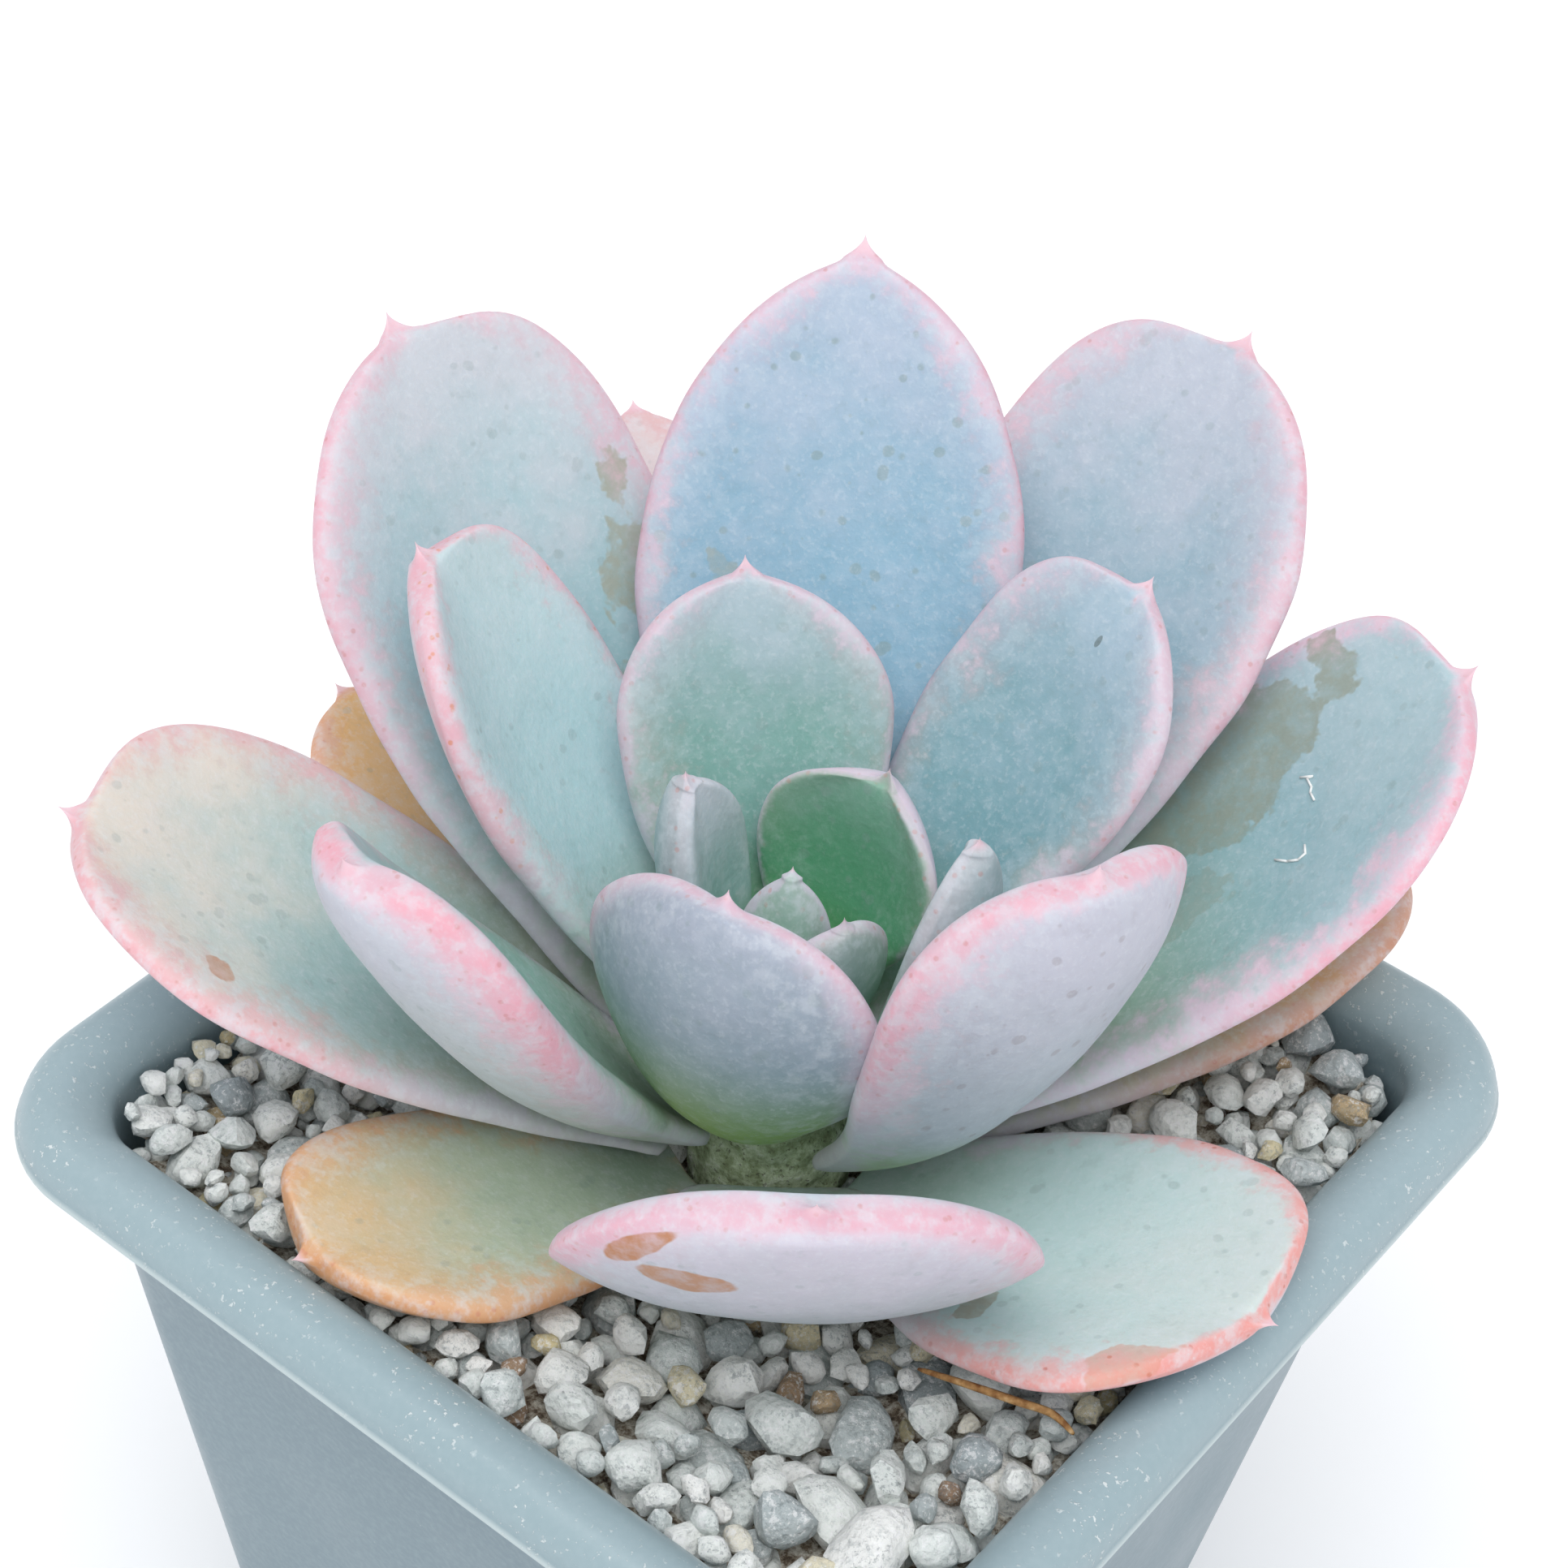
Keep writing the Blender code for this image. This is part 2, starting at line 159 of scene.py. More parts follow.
def finishPiece(name, mesh, material, nodes=(), smoothAngle=None):
    # Mesh to an object that rides on the pot's body and stands for its solids
    data = bpy.data.meshes.new(name)
    mesh.to_mesh(data)
    mesh.free()
    data.materials.append(material)
    data.shade_smooth()
    if smoothAngle:
        data.set_sharp_from_angle(angle=math.radians(smoothAngle))
    piece = bpy.data.objects.new(name, data)
    bpy.context.scene.collection.objects.link(piece)
    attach(piece, "root")
    if nodes:
        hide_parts(*nodes)
    return piece


# Camera

cameraView = {
    "azimuth": 35.1,
    "elevation": 42.1,
    "roll": 5.3,
    "distance": 229,  # mm from the middle of the lip
    "across": 0.64,  # mm that the view is moved to the right
    "up": 20.7,
    "lens": 79.47,  # mm
    "sensor": 36,
}


def makeCamera():
    azimuth = math.radians(cameraView["azimuth"])
    elevation = math.radians(cameraView["elevation"])
    flat = math.cos(elevation)
    back = Vector((math.sin(azimuth) * flat, -math.cos(azimuth) * flat, math.sin(elevation)))
    right = Vector((math.cos(azimuth), math.sin(azimuth), 0))
    up = back.cross(right)
    turn = Quaternion(back, math.radians(cameraView["roll"]))
    right, up = turn @ right, turn @ up
    spot = Vector((0, 0, lipHeight)) + mm * (
        back * cameraView["distance"] + right * cameraView["across"] + up * cameraView["up"]
    )
    data = bpy.data.cameras.new("camera")
    data.lens = cameraView["lens"]
    data.sensor_width = cameraView["sensor"]
    data.clip_start = 0.01
    data.clip_end = 20
    camera = bpy.data.objects.new("camera", data)
    bpy.context.scene.collection.objects.link(camera)
    camera.matrix_world = Matrix.Translation(spot) @ Matrix((right, up, back)).transposed().to_4x4()
    bpy.context.scene.camera = camera


makeCamera()
print("camera ready")


# Studio

studio = {
    "floor": "#FFFFFF",
    "floorHalf": 6,  # m
    "world": "#F6F9FF",
    "worldStrength": 0.66,
    "keyFrom": (0.1, -0.3, 1.0),  # a wide soft lamp overhead
    "keyStrength": 1.75,
    "keySpread": 50,  # degrees
    "fillFrom": (0.9, -0.6, 0.55),
    "fillStrength": 0.35,
    "fillSpread": 70,
}


def makeStudio():
    mesh = bmesh.new()
    bmesh.ops.create_grid(mesh, x_segments=1, y_segments=1, size=studio["floorHalf"])
    data = bpy.data.meshes.new("floor")
    mesh.to_mesh(data)
    mesh.free()
    made, _, _ = newMaterial("paper_floor", Base_Color=linear(studio["floor"]), Roughness=0.9)
    data.materials.append(made)
    floor = bpy.data.objects.new("floor", data)
    bpy.context.scene.collection.objects.link(floor)

    world = bpy.data.worlds.new("studio")
    bpy.context.scene.world = world
    world.use_nodes = True
    sky = world.node_tree.nodes["Background"]
    sky.inputs["Color"].default_value = linear(studio["world"])
    sky.inputs["Strength"].default_value = studio["worldStrength"]

    for key in ("key", "fill"):
        lamp = bpy.data.lights.new(key, "SUN")
        lamp.energy = studio[key + "Strength"]
        lamp.angle = math.radians(studio[key + "Spread"])
        made = bpy.data.objects.new(key, lamp)
        bpy.context.scene.collection.objects.link(made)
        made.location = studio[key + "From"]
        made.rotation_mode = "QUATERNION"
        made.rotation_quaternion = (-made.location).to_track_quat("-Z", "Y")


makeStudio()
bpy.context.scene.view_settings.view_transform = "Standard"
print("studio ready")


# Leaves: the same driving sizes as the solids. Bearing of the tip in degrees from +X, seat height,
# reach and tip height above the grit in mm, bow in degrees, width and thickness in mm, cup (how
# far the margins stand up, in half widths), roll in degrees, bluntness, and the widest place.

leafShapes = {
    "leaf_old_back_left": (176, -0.2, 43, 14, 5, 19, 3.4, 0.15, 0, 2.2, 0.64),
    "leaf_old_right": (60, -1.0, 47, 13.5, 5, 18, 3.4, 0.15, 0, 2.2, 0.64),
    "leaf_old_front_left": (-110, 0.3, 35, 8, 5, 18.5, 3.6, 0.15, 0, 2.8, 0.66),
    "leaf_old_front_right": (1, 0.1, 38, 12, 5, 24, 3.6, 0.15, 0, 2.8, 0.68),
    "leaf_low_back": (142, 1.9, 51, 25, 10, 19, 3.6, 0.15, 0, 1.8, 0.64),
    "leaf_outer_left": (-148, 2.4, 47, 23, 12, 26, 4.2, 0.2, 4, 3.0, 0.7),
    "leaf_outer_front": (-50, 2.5, 31, 27, 55, 29, 5.4, 0.3, 0, 3.0, 0.64),
    "leaf_outer_right": (58, 2.8, 46.5, 32.5, 30, 24.5, 4.2, 0.2, -12, 3.0, 0.72),
    "leaf_outer_back_left": (166, 4.6, 47, 40, 20, 28, 4.2, 0.15, 6, 2.5, 0.64),
    "leaf_outer_back_right": (92, 6.0, 51, 40, 20, 27, 4.2, 0.15, -8, 2.6, 0.66),
    "leaf_outer_back": (124, 8.2, 41, 46, 26, 26, 4.2, 0.15, 0, 1.6, 0.6),
    "leaf_middle_front_left": (-120, 5.5, 29, 35, 40, 19, 5.2, 0.25, 24, 3.0, 0.64),
    "leaf_middle_front_right": (5, 5.2, 20, 38, 50, 22, 5.2, 0.25, -30, 2.8, 0.64),
    "leaf_middle_left": (-175, 9.6, 30, 37, 28, 19.5, 4.2, 0.25, 20, 2.6, 0.68),
    "leaf_middle_back_right": (78, 10.5, 29, 36, 26, 18, 4.0, 0.2, 0, 2.6, 0.68),
    "leaf_middle_back": (140, 12.1, 20, 35, 26, 18.5, 4.0, 0.2, 0, 2.1, 0.64),
    "leaf_inner_front": (-78, 7.7, 10, 32.5, 65, 19.6, 3.8, 0.35, -8, 2.6, 0.64),
    "leaf_inner_right": (13, 8.9, 11.5, 34, 40, 10, 3.6, 0.3, 0, 2.2, 0.6),
    "leaf_inner_left": (-167, 13.3, 8, 30.5, 28, 8.5, 3.6, 0.3, 0, 2.2, 0.6),
    "leaf_inner_back": (89, 13.8, 9, 28.5, 45, 14.5, 2.8, 0.4, 0, 2.2, 0.62),
    "leaf_bud_right": (-20, 13.5, 5.5, 26.5, 50, 9, 2.2, 0.4, 0, 2.2, 0.6),
    "leaf_bud": (-62, 15.0, 2, 28, 50, 6, 2.0, 0.4, 0, 1.9, 0.6),
}
leafForm = {
    "gritLevel": 8,  # mm from the rim's crest down to the grit
    "stem": ((-3, 5.6), (1, 5.6), (6, 4.8), (10, 3.6), (13.5, 2.4), (16, 1.2)),
    "stemGap": 0.65,
    "spike": 0.5,
    "spikeGrowth": 0.045,
    "neck": 0.42,
    "swell": 1.3,
    "seatThickness": 0.5,
    "fullAt": 0.4,
    "thinning": 0.3,
    "around": 40,  # points round a section
    "along": 46,
    "spikeRows": 5,
    "topFullness": 7,  # a higher one has squarer shoulders
    "bottomFullness": 2.3,
    "shoulder": 0.5,
    "wobble": 0.22,  # mm that the skin swells and sinks
    "tipRoundness": 0.22,
    "spikeFoot": 0.85,  # half its width, as a share of its length
    "rowCrowding": 1.5,  # rows lie closer towards the end
    "fullSide": 0.45,  # how much a lopsided tip changes its full side's bluntness
    "straightSide": 0.9,
    "spikeTaper": 1.9,
    "spikeThinning": 2.2,
    "bottomShoulder": 0.8,
    "waveLength": 7,  # mm
    "edgeWave": 0.35,  # mm that the margin strays
}
# How lopsided the tip is: with plus the left margin runs straight to it and the right one is full
leafSkew = {
    "leaf_outer_back_left": 0.7,
    "leaf_outer_back_right": -0.7,
    "leaf_outer_right": -0.4,
    "leaf_middle_left": 0.6,
    "leaf_middle_back_right": -0.8,
    "leaf_middle_back": -0.2,
    "leaf_inner_back": -0.6,
    "leaf_old_front_left": 0.7,
    "leaf_old_front_right": -0.6,
    "leaf_outer_left": 0.2,
}
# Fuller on one side: the left half's width and the right half's, as shares of the plain ones
leafFuller = {
    "leaf_outer_right": (1.0, 1.16),
    "leaf_old_front_right": (1.0, 1.06),
    "leaf_middle_front_right": (1.0, 1.05),
    "leaf_inner_front": (1.07, 1.1),
}
leafBluntness = {
    "leaf_inner_left": 1.55,
    "leaf_inner_right": 1.6,
    "leaf_bud": 1.45,
    "leaf_bud_right": 1.7,
    "leaf_middle_back": 1.9,
}
leafCup = {"leaf_outer_front": 0.06}
leafLift = {"leaf_outer_front": 3.2}  # mm that the end curls up further
gritLevel = potHeight - leafForm["gritLevel"] * mm


def stemRadius(height):
    # mm, at a height in mm above the grit
    profile = leafForm["stem"]
    return float(np.interp(height, [z for z, _ in profile], [r for _, r in profile]))


def leafOutline(share, widest, bluntness):
    if share < widest:
        swell = math.sin(math.pi / 2 * share / widest) ** leafForm["swell"]
        return leafForm["neck"] + (1 - leafForm["neck"]) * swell
    past = (share - widest) / (1 - widest)
    return max(0, 1 - past**2) ** (1 / bluntness)


def leafThickness(share):
    full = leafForm["fullAt"]
    if share < full:
        seat = leafForm["seatThickness"]
        return seat + (1 - seat) * math.sin(math.pi / 2 * share / full)
    return 1 - leafForm["thinning"] * ((share - full) / (1 - full)) ** 3


def buildLeafMesh(name):
    shape = leafShapes[name]
    bearing, seat, reach, height, bow, width, thickness, cup, roll, bluntness, widest = shape
    cup = leafCup.get(name, cup)
    height += leafLift.get(name, 0)
    bluntness = leafBluntness.get(name, bluntness)
    skew = leafSkew.get(name, 0)
    fuller = leafFuller.get(name, (1, 1))
    spikeFoot = leafForm["spikeFoot"]
    out = Vector((math.cos(math.radians(bearing)), math.sin(math.radians(bearing)), 0))
    side = Vector((0, 0, 1)).cross(out)
    bend = math.radians(bow)
    guess = Vector((reach - stemRadius(seat), height - seat))
    tilt = math.atan2(guess.y, guess.x) - bend / 2
    halfSeat = leafForm["seatThickness"] * thickness / 2
    clear = leafForm["stemGap"] + halfSeat * abs(math.sin(tilt))
    start = Vector((stemRadius(seat - halfSeat * math.cos(tilt)) + clear, seat))
    chord = Vector((reach, height)) - start
    rise = math.atan2(chord.y, chord.x) - bend / 2
    radius = chord.length / (2 * math.sin(bend / 2))
    length = radius * bend
    spike = leafForm["spike"] + leafForm["spikeGrowth"] * width
    blade = length - spike
    shift = Vector((bearing, seat, reach))

    rows = leafForm["along"]
    spikeRows = leafForm["spikeRows"]
    mesh = unitSheet(leafForm["around"], rows)
    markNames = ("along", "across", "fromEdge", "upper")
    marks = {key: mesh.verts.layers.float.new(key) for key in markNames}
    for vert in mesh.verts:
        angle = 2 * math.pi * (vert.co.x + 0.5)
        u = math.cos(angle)
        over = math.sin(angle) >= 0
        row = (vert.co.y + 0.5) * rows
        if row <= rows - spikeRows:
            share = row / (rows - spikeRows)
            share = 1 - (1 - share) ** leafForm["rowCrowding"]
            travel = share * blade
            foot = 2 * spikeFoot * spike / width
            straight = skew if u > 0 else -skew
            change = leafForm["fullSide" if straight > 0 else "straightSide"]
            outline = max(leafOutline(share, widest, bluntness * (1 - change * straight)), foot)
            half = width / 2 * outline
            thick = thickness * leafThickness(share) * min(1, outline * 1.1) ** leafForm["tipRoundness"]
        else:
            onSpike = (row - rows + spikeRows) / spikeRows
            travel = blade + spike * onSpike
            half = spikeFoot * spike * (1 - onSpike) ** leafForm["spikeTaper"]
            end = (2.2 * spikeFoot * spike / width) ** leafForm["tipRoundness"] * leafThickness(1)
            thick = thickness * end * (1 - onSpike) ** leafForm["spikeThinning"] * 0.8
        turned = rise + travel / radius
        run = start.x + radius * (math.sin(turned) - math.sin(rise))
        up = start.y + radius * (math.cos(rise) - math.cos(turned))
        ahead = out * math.cos(turned) + Vector((0, 0, math.sin(turned)))
        twist = Quaternion(ahead, math.radians(roll) * travel / length)
        across = twist @ side
        upward = ahead.cross(across)
        power = leafForm["topFullness" if over else "bottomFullness"]
        shoulder = leafForm["shoulder" if over else "bottomShoulder"]
        skin = thick / 2 * max(0, 1 - abs(u) ** power) ** shoulder
        lift = cup * half * u * u + (skin if over else -skin)
        sideways = u * half * (fuller[0] if u > 0 else fuller[1])
        spot = out * run + Vector((0, 0, up)) + across * sideways + upward * lift
        wave = noise.noise(spot / leafForm["waveLength"] + shift)
        swell = leafForm["wobble"] * wave * min(1, half / 3)
        wave = noise.noise(Vector((travel / 6, u * 1.2, bearing)))
        edge = leafForm["edgeWave"] * wave * min(1, half / 4)
        spot += upward * (swell * math.sin(angle)) + across * (edge * u**3)
        vert.co = spot * mm + Vector((0, 0, gritLevel))
        vert[marks["along"]] = travel / length
        vert[marks["across"]] = u
        vert[marks["fromEdge"]] = math.hypot(half * (1 - abs(u)), skin)
        vert[marks["upper"]] = math.sin(angle)
    closeSkin(mesh)
    return mesh


# Leaf skin: living Echeveria leaf, grown and not made, with a coat of wax bloom. Matt and powdery,
# light goes a little way in, so shadows are soft and the thin rims glow.
# face and back are the two sides' colours, faceTip and backTip theirs near the end, base the
# colour by the stem and baseReach how far it goes, in leaf lengths. On some leaves these also carry painted
# light or shade, noted at each.

leafLook = {
    "face": "#B2CCCF",
    "faceTip": "#D0D8E0",
    "back": "#C0C8D2",
    "backTip": "#CFCFDA",
    "base": "#A2B8A4",
    "baseReach": 0.32,
    "rim": "#DDD9E6",
    "rimWidth": 3.0,  # mm
    "rimStrength": 0.75,
    "blush": "#F0C6D0",
    "blushWidth": 4.5,
    "blushStrength": 0.55,
    "keel": "#F5A9B8",
    "keelWidth": 1.0,
    "keelStrength": 0.55,
    "keelFrom": 0.3,  # share of the length where the pink starts
    "dots": "#CF8072",
    "dotStrength": 0.35,
    "powder": 0.45,
    "warm": "#CCC9B8",
    "warmStrength": 0.5,
    "flecks": "#8FA29F",
    "fleckStrength": 0.25,
    "spike": "#F6D3DC",
    "richness": 1.06,
    "depth": 0.87,
    "ragged": 1.0,
    "keelAbove": 1.0,  # how much of the pink goes over the margin onto the upper side
}
youngLook = {"warmStrength": 0, "ragged": 0.3}
leafLooks = {
    "leaf_outer_back": {
        "face": "#93BACE", "faceTip": "#BECBDC", "base": "#9FB6B2", "fleckStrength": 0.5,
        "rim": "#D9D9EA", "blushWidth": 4,
    },
    "leaf_outer_back_left": {
        "face": "#A9CED3", "faceTip": "#D3D6DC", "blushWidth": 5.5, "blushStrength": 0.7,
    },
    "leaf_outer_back_right": {
        "face": "#98B9C6", "faceTip": "#C6CCD8", "blushWidth": 5.5, "blushStrength": 0.65,
    },
    "leaf_outer_right": {
        "face": "#97BFC6", "faceTip": "#B9D0D6", "base": "#A0BC9C", "baseReach": 0.55, "keelStrength": 0.75,
        "rim": "#EEDFF0", "rimWidth": 4, "rimStrength": 0.85,
    },
    # base here is the leaf's green by the stem, painted darker as painted shade where the leaf lies in
    # shadow
    "leaf_outer_left": {
        "face": "#B0D0CE", "faceTip": "#EBE2D6", "base": "#A3AE98", "baseReach": 0.45, "blush": "#F3C0BC",
        "blushWidth": 6, "powder": 0.5, "blushStrength": 0.7,
    },
    "leaf_outer_front": {
        "back": "#BFC6CB", "backTip": "#D6D0DC", "base": "#A6BDB0", "baseReach": 0.4, "keel": "#F79FB0",
        "keelWidth": 1.5, "keelStrength": 0.55, "blushStrength": 0.35, "keelFrom": 0.4, "keelAbove": 0.3,
    },
    "leaf_middle_front_left": {
        "back": "#C3CFD2", "backTip": "#D0D2DC", "face": "#A0C8BC", "faceTip": "#B2CACC", "keel": "#F8AEBC",
        "keelWidth": 1.4, "keelStrength": 0.85, "keelAbove": 0.3,
    },
    "leaf_middle_front_right": {
        "back": "#BFC6CF", "backTip": "#CCCCD8", "base": "#B2CE98", "keelWidth": 1.3, "keelStrength": 0.6,
        "flecks": "#9A8F94", "fleckStrength": 0.4, "blushWidth": 3.5, "keelAbove": 0.3,
    },
    # face here is painted lighter than the leaf's own colour, as painted light against the shade that falls
    # on this leaf
    "leaf_middle_left": {
        "face": "#C0E0E3", "faceTip": "#CBDEE0", "keelWidth": 1.5, "dotStrength": 0.7, "dots": "#E39A78",
        "keelStrength": 0.6, "blush": "#F2C4C8", "blushWidth": 4,
    },
    "leaf_middle_back_right": {
        "face": "#86AEB6", "faceTip": "#B6CAD8", "base": "#97BFA6", "blushStrength": 0.35,
        "keelStrength": 0.35, "rimWidth": 2.4,
    },
    "leaf_middle_back": {
        "face": "#88B4AB", "faceTip": "#B6C9D1", "base": "#7FB58A", "blushStrength": 0.3,
        "keelStrength": 0.35, "rimWidth": 2.4,
    },
    "leaf_inner_front": {
        "back": "#9DAFB8", "backTip": "#B4BBC9", "base": "#9DBB62", "baseReach": 0.5, "keelWidth": 0.7,
        "rimWidth": 1.8, "blushStrength": 0.2, "keelStrength": 0.4, "blushWidth": 2.5, "keelAbove": 0.3,
    },
    "leaf_inner_right": {
        "face": "#8DBB9C", "back": "#A3C2C1", "backTip": "#B0C6C8", "base": "#9CC48A", "keelStrength": 0.15,
        "blushStrength": 0.08, "rim": "#C6D3D8", "rimStrength": 0.5,
    },
    "leaf_inner_left": {
        "face": "#A5C8C6", "back": "#93B7B5", "backTip": "#A8C0C2", "base": "#86B48C", "keelStrength": 0.15,
        "blushStrength": 0.08, "rim": "#C0CED4", "rimStrength": 0.5,
    },
    "leaf_inner_back": {
        "face": "#60A07B", "faceTip": "#86B49E", "base": "#5CA262", "rimWidth": 1.3, "keelStrength": 0.15,
        "blushStrength": 0.1, "powder": 0.15,
    },
    "leaf_bud_right": {
        "back": "#9FBBB2", "backTip": "#A8BCB8", "base": "#6FA878", "rimWidth": 1.0, "keelStrength": 0.15,
        "blushStrength": 0.1,
    },
    "leaf_bud": {
        "back": "#93BCA4", "backTip": "#A9C4BA", "face": "#88B998", "base": "#69A873", "rimWidth": 0.8,
        "keelStrength": 0.05, "blushStrength": 0.05,
    },
    "leaf_low_back": {"face": "#DDE0DC", "faceTip": "#EBDCDC", "blush": "#EDBDB8", "blushStrength": 0.7},
    "leaf_old_front_left": {
        "face": "#BCCBB4", "faceTip": "#E6C79C", "base": "#98AE9A", "rim": "#E6CDB8", "blush": "#E8B080",
        "keel": "#DE9058", "keelFrom": 0.1, "blushWidth": 5, "blushStrength": 0.6, "back": "#E0B888",
        "backTip": "#E2B080",
    },
    "leaf_old_front_right": {
        "face": "#C9E2E0", "faceTip": "#D8E2DE", "base": "#B4CCC4", "blush": "#F5BDB4", "keel": "#F2968C",
        "keelWidth": 1.6, "keelStrength": 0.75, "blushWidth": 3.5, "blushStrength": 0.7, "dotStrength": 0.7,
    },
    "leaf_old_back_left": {
        "face": "#E3C69C", "faceTip": "#EDC490", "back": "#E0B888", "backTip": "#E2B080", "keel": "#DE9050",
        "blush": "#EBA45F",
    },
    "leaf_old_right": {
        "face": "#C9BCA0", "faceTip": "#DCA878", "back": "#C9AC8C", "backTip": "#D9A47C", "keel": "#C97F55",
        "blush": "#E0A070", "base": "#A3B49A",
    },
}
# Marks on single leaves: side (1 upper, -1 under), place as (across, along), size as shares of the
# same, colour, strength and how ragged the outline is.
leafMarks = {
    "leaf_outer_front": (
        (-1, (-0.84, 0.84), (0.09, 0.07), "#C4865A", 0.9, 0.2),
        (-1, (-0.52, 0.79), (0.22, 0.035), "#BF8C68", 0.85, 0.2),
        (-1, (-0.1, 0.5), (0.5, 0.03), "#BC9A84", 0.6, 0.5),
    ),
    "leaf_outer_right": (
        (1, (0.5, 0.6), (0.42, 0.3), "#9A9F8A", 0.7, 0.6),
        (1, (-0.15, 0.5), (0.18, 0.12), "#9AA89A", 0.5, 0.7),
    ),
    "leaf_outer_back_left": ((1, (-0.75, 0.4), (0.36, 0.24), "#AAA890", 0.7, 0.6),),
    "leaf_outer_back": ((1, (0.6, 0.42), (0.24, 0.13), "#A9AFA4", 0.6, 0.7),),
    "leaf_old_front_right": (
        (1, (-0.62, 0.5), (0.16, 0.03), "#A89C84", 0.7, 0.6),
        (1, (-0.85, 0.86), (0.2, 0.06), "#D9906A", 0.5, 0.6),
    ),
    "leaf_middle_back_right": ((1, (0.0, 0.85), (0.03, 0.014), "#5C6862", 0.85, 0.3),),
    "leaf_outer_left": ((1, (0.72, 0.72), (0.09, 0.03), "#C48A66", 0.7, 0.6),),
}


def leafSlot(name):
    group = name.split("_")[1]
    return {"old": "old_leaf", "inner": "young_leaf", "bud": "young_leaf"}.get(group, "grown_leaf")


def leafMaterial(name):
    young = youngLook if leafSlot(name) == "young_leaf" else {}
    look = {**leafLook, **young, **leafLooks.get(name, {})}
    made, tree, shader = newMaterial(
        name + "_skin",
        Roughness=0.52,
        IOR=1.42,
        Subsurface_Weight=0.18,
        Subsurface_Scale=0.0012,
        Subsurface_Radius=(1.0, 0.75, 0.6),
    )
    kit = nodeKit(tree, shader)
    along = kit.marked("along")
    across = kit.marked("across")
    upper = kit.marked("upper")
    cloud = kit.cloudy(5, 4, 0.6)
    grain = kit.cloudy(0.4, 3, 0.65)
    mottle = kit.cloudy(1.3, 3, 0.65)
    bays = kit.level(cloud, 0.3, 0.7, -1.5, 1.5)
    grains = kit.level(mottle, 0.3, 0.7, -1.3, 1.3)
    ragged = kit.times(kit.plus(bays, grains), look["ragged"])
    plainEdge = kit.marked("fromEdge")
    edge = kit.plus(plainEdge, ragged)

    topSide = kit.fade(upper, -0.15, 0.15)
    wave = kit.level(cloud, 0.2, 0.8, -0.15, 0.15)
    alongWave = kit.plus(along, wave)
    toTip = kit.fade(alongWave, 0.45, 1.0)
    face = kit.mixed(toTip, look["face"], look["faceTip"])
    back = kit.mixed(toTip, look["back"], look["backTip"])
    skin = kit.mixed(topSide, back, face)

    atBase = kit.fade(along, look["baseReach"] * 0.4, look["baseReach"] * 1.3, 1, 0)
    rim = kit.fade(edge, 0.2, look["rimWidth"], 1, 0)
    blushEdge = kit.fade(edge, 0, look["blushWidth"], 1, 0)
    grown = kit.fade(along, look["keelFrom"], look["keelFrom"] + 0.35)
    blush = kit.times(blushEdge, grown)
    keelLine = kit.fade(plainEdge, look["keelWidth"] * 0.35, look["keelWidth"] * 1.5, 1, 0)
    patchy = kit.level(cloud, 0.35, 0.55, 0.45, 1)
    above = kit.fade(upper, 0.05, 0.5, 1, look["keelAbove"])
    keel = kit.times(keelLine, grown, patchy, above)
    powder = kit.fade(grain, 0.5, 0.7)
    bloomEdge = kit.fade(edge, 0.5, 7, 1, 0.25)
    bloomCloud = kit.fade(mottle, 0.42, 0.68)
    bloom = kit.times(bloomCloud, bloomEdge)
    rubbed = kit.fade(mottle, 0.44, 0.3)
    lower = kit.fade(along, 0.85, 0.35)
    warm = kit.times(blushEdge, lower)
    fleckCells = kit.add("TexVoronoi", {"Vector": kit.place, "Scale": 1 / 1.5, "Randomness": 1})
    fleckSize = kit.cloudy(2.2, 1)
    fleckLimit = kit.level(fleckSize, 0.45, 0.7, 0.05, 0.34)
    fleckGap = kit.maths("SUBTRACT", fleckCells, fleckLimit)
    flecks = kit.fade(fleckGap, -0.06, 0.05, 1, 0)
    dotCells = kit.add("TexVoronoi", {"Vector": kit.place, "Scale": 1 / 0.9})
    dotSpots = kit.fade(dotCells, 0.12, 0.25, 1, 0)
    dotEdge = kit.fade(edge, 0.4, 2.4, 1, 0)
    dots = kit.times(dotSpots, dotEdge, grown)
    spike = kit.fade(along, 0.965, 0.985)
    coats = [
        (look["base"], atBase, 0.9),
        (look["warm"], warm, look["warmStrength"]),
        (look["flecks"], rubbed, 0.12),
        (look["flecks"], flecks, look["fleckStrength"]),
        (look["rim"], rim, look["rimStrength"]),
        (look["blush"], blush, look["blushStrength"]),
        (look["keel"], keel, look["keelStrength"] * 0.8),
        (look["dots"], dots, look["dotStrength"]),
        ("#E6EAF0", bloom, look["powder"]),
        ("#EEF2F6", powder, look["powder"] * 0.4),
        (look["spike"], spike, 0.8),
    ]
    for side, spotAt, size, colour, strength, rag in leafMarks.get(name, ()):
        dx = kit.maths("DIVIDE", kit.maths("SUBTRACT", across, spotAt[0]), size[0])
        dy = kit.maths("DIVIDE", kit.maths("SUBTRACT", along, spotAt[1]), size[1])
        offset = kit.add("CombineXYZ", {0: dx, 1: dy})
        far = kit.add("VectorMath", {0: offset}, out="Value", operation="LENGTH")
        far = kit.plus(far, kit.level(cloud, 0.3, 0.7, -rag, rag))
        spot = kit.fade(far, 0.85, 1.0, 1, 0)
        sided = kit.fade(upper, -0.1 * side, 0.1 * side)
        dried = kit.level(mottle, 0.3, 0.6, 0.45, 1)
        coats.append((colour, kit.times(spot, sided, dried), strength))
    painted = paint(tree, skin, coats)
    strengths = {"Saturation": look["richness"], "Value": look["depth"]}
    kit.feed("Base Color", kit.add("HueSaturation", {"Color": painted, **strengths}))
    kit.feed("Roughness", kit.level(grain, 0.3, 0.7, 0.45, 0.62))
    kit.feed("Normal", kit.bump(cloud, 0.35, 0.0006, kit.bump(grain, 0.25, 0.00012)))
    return made


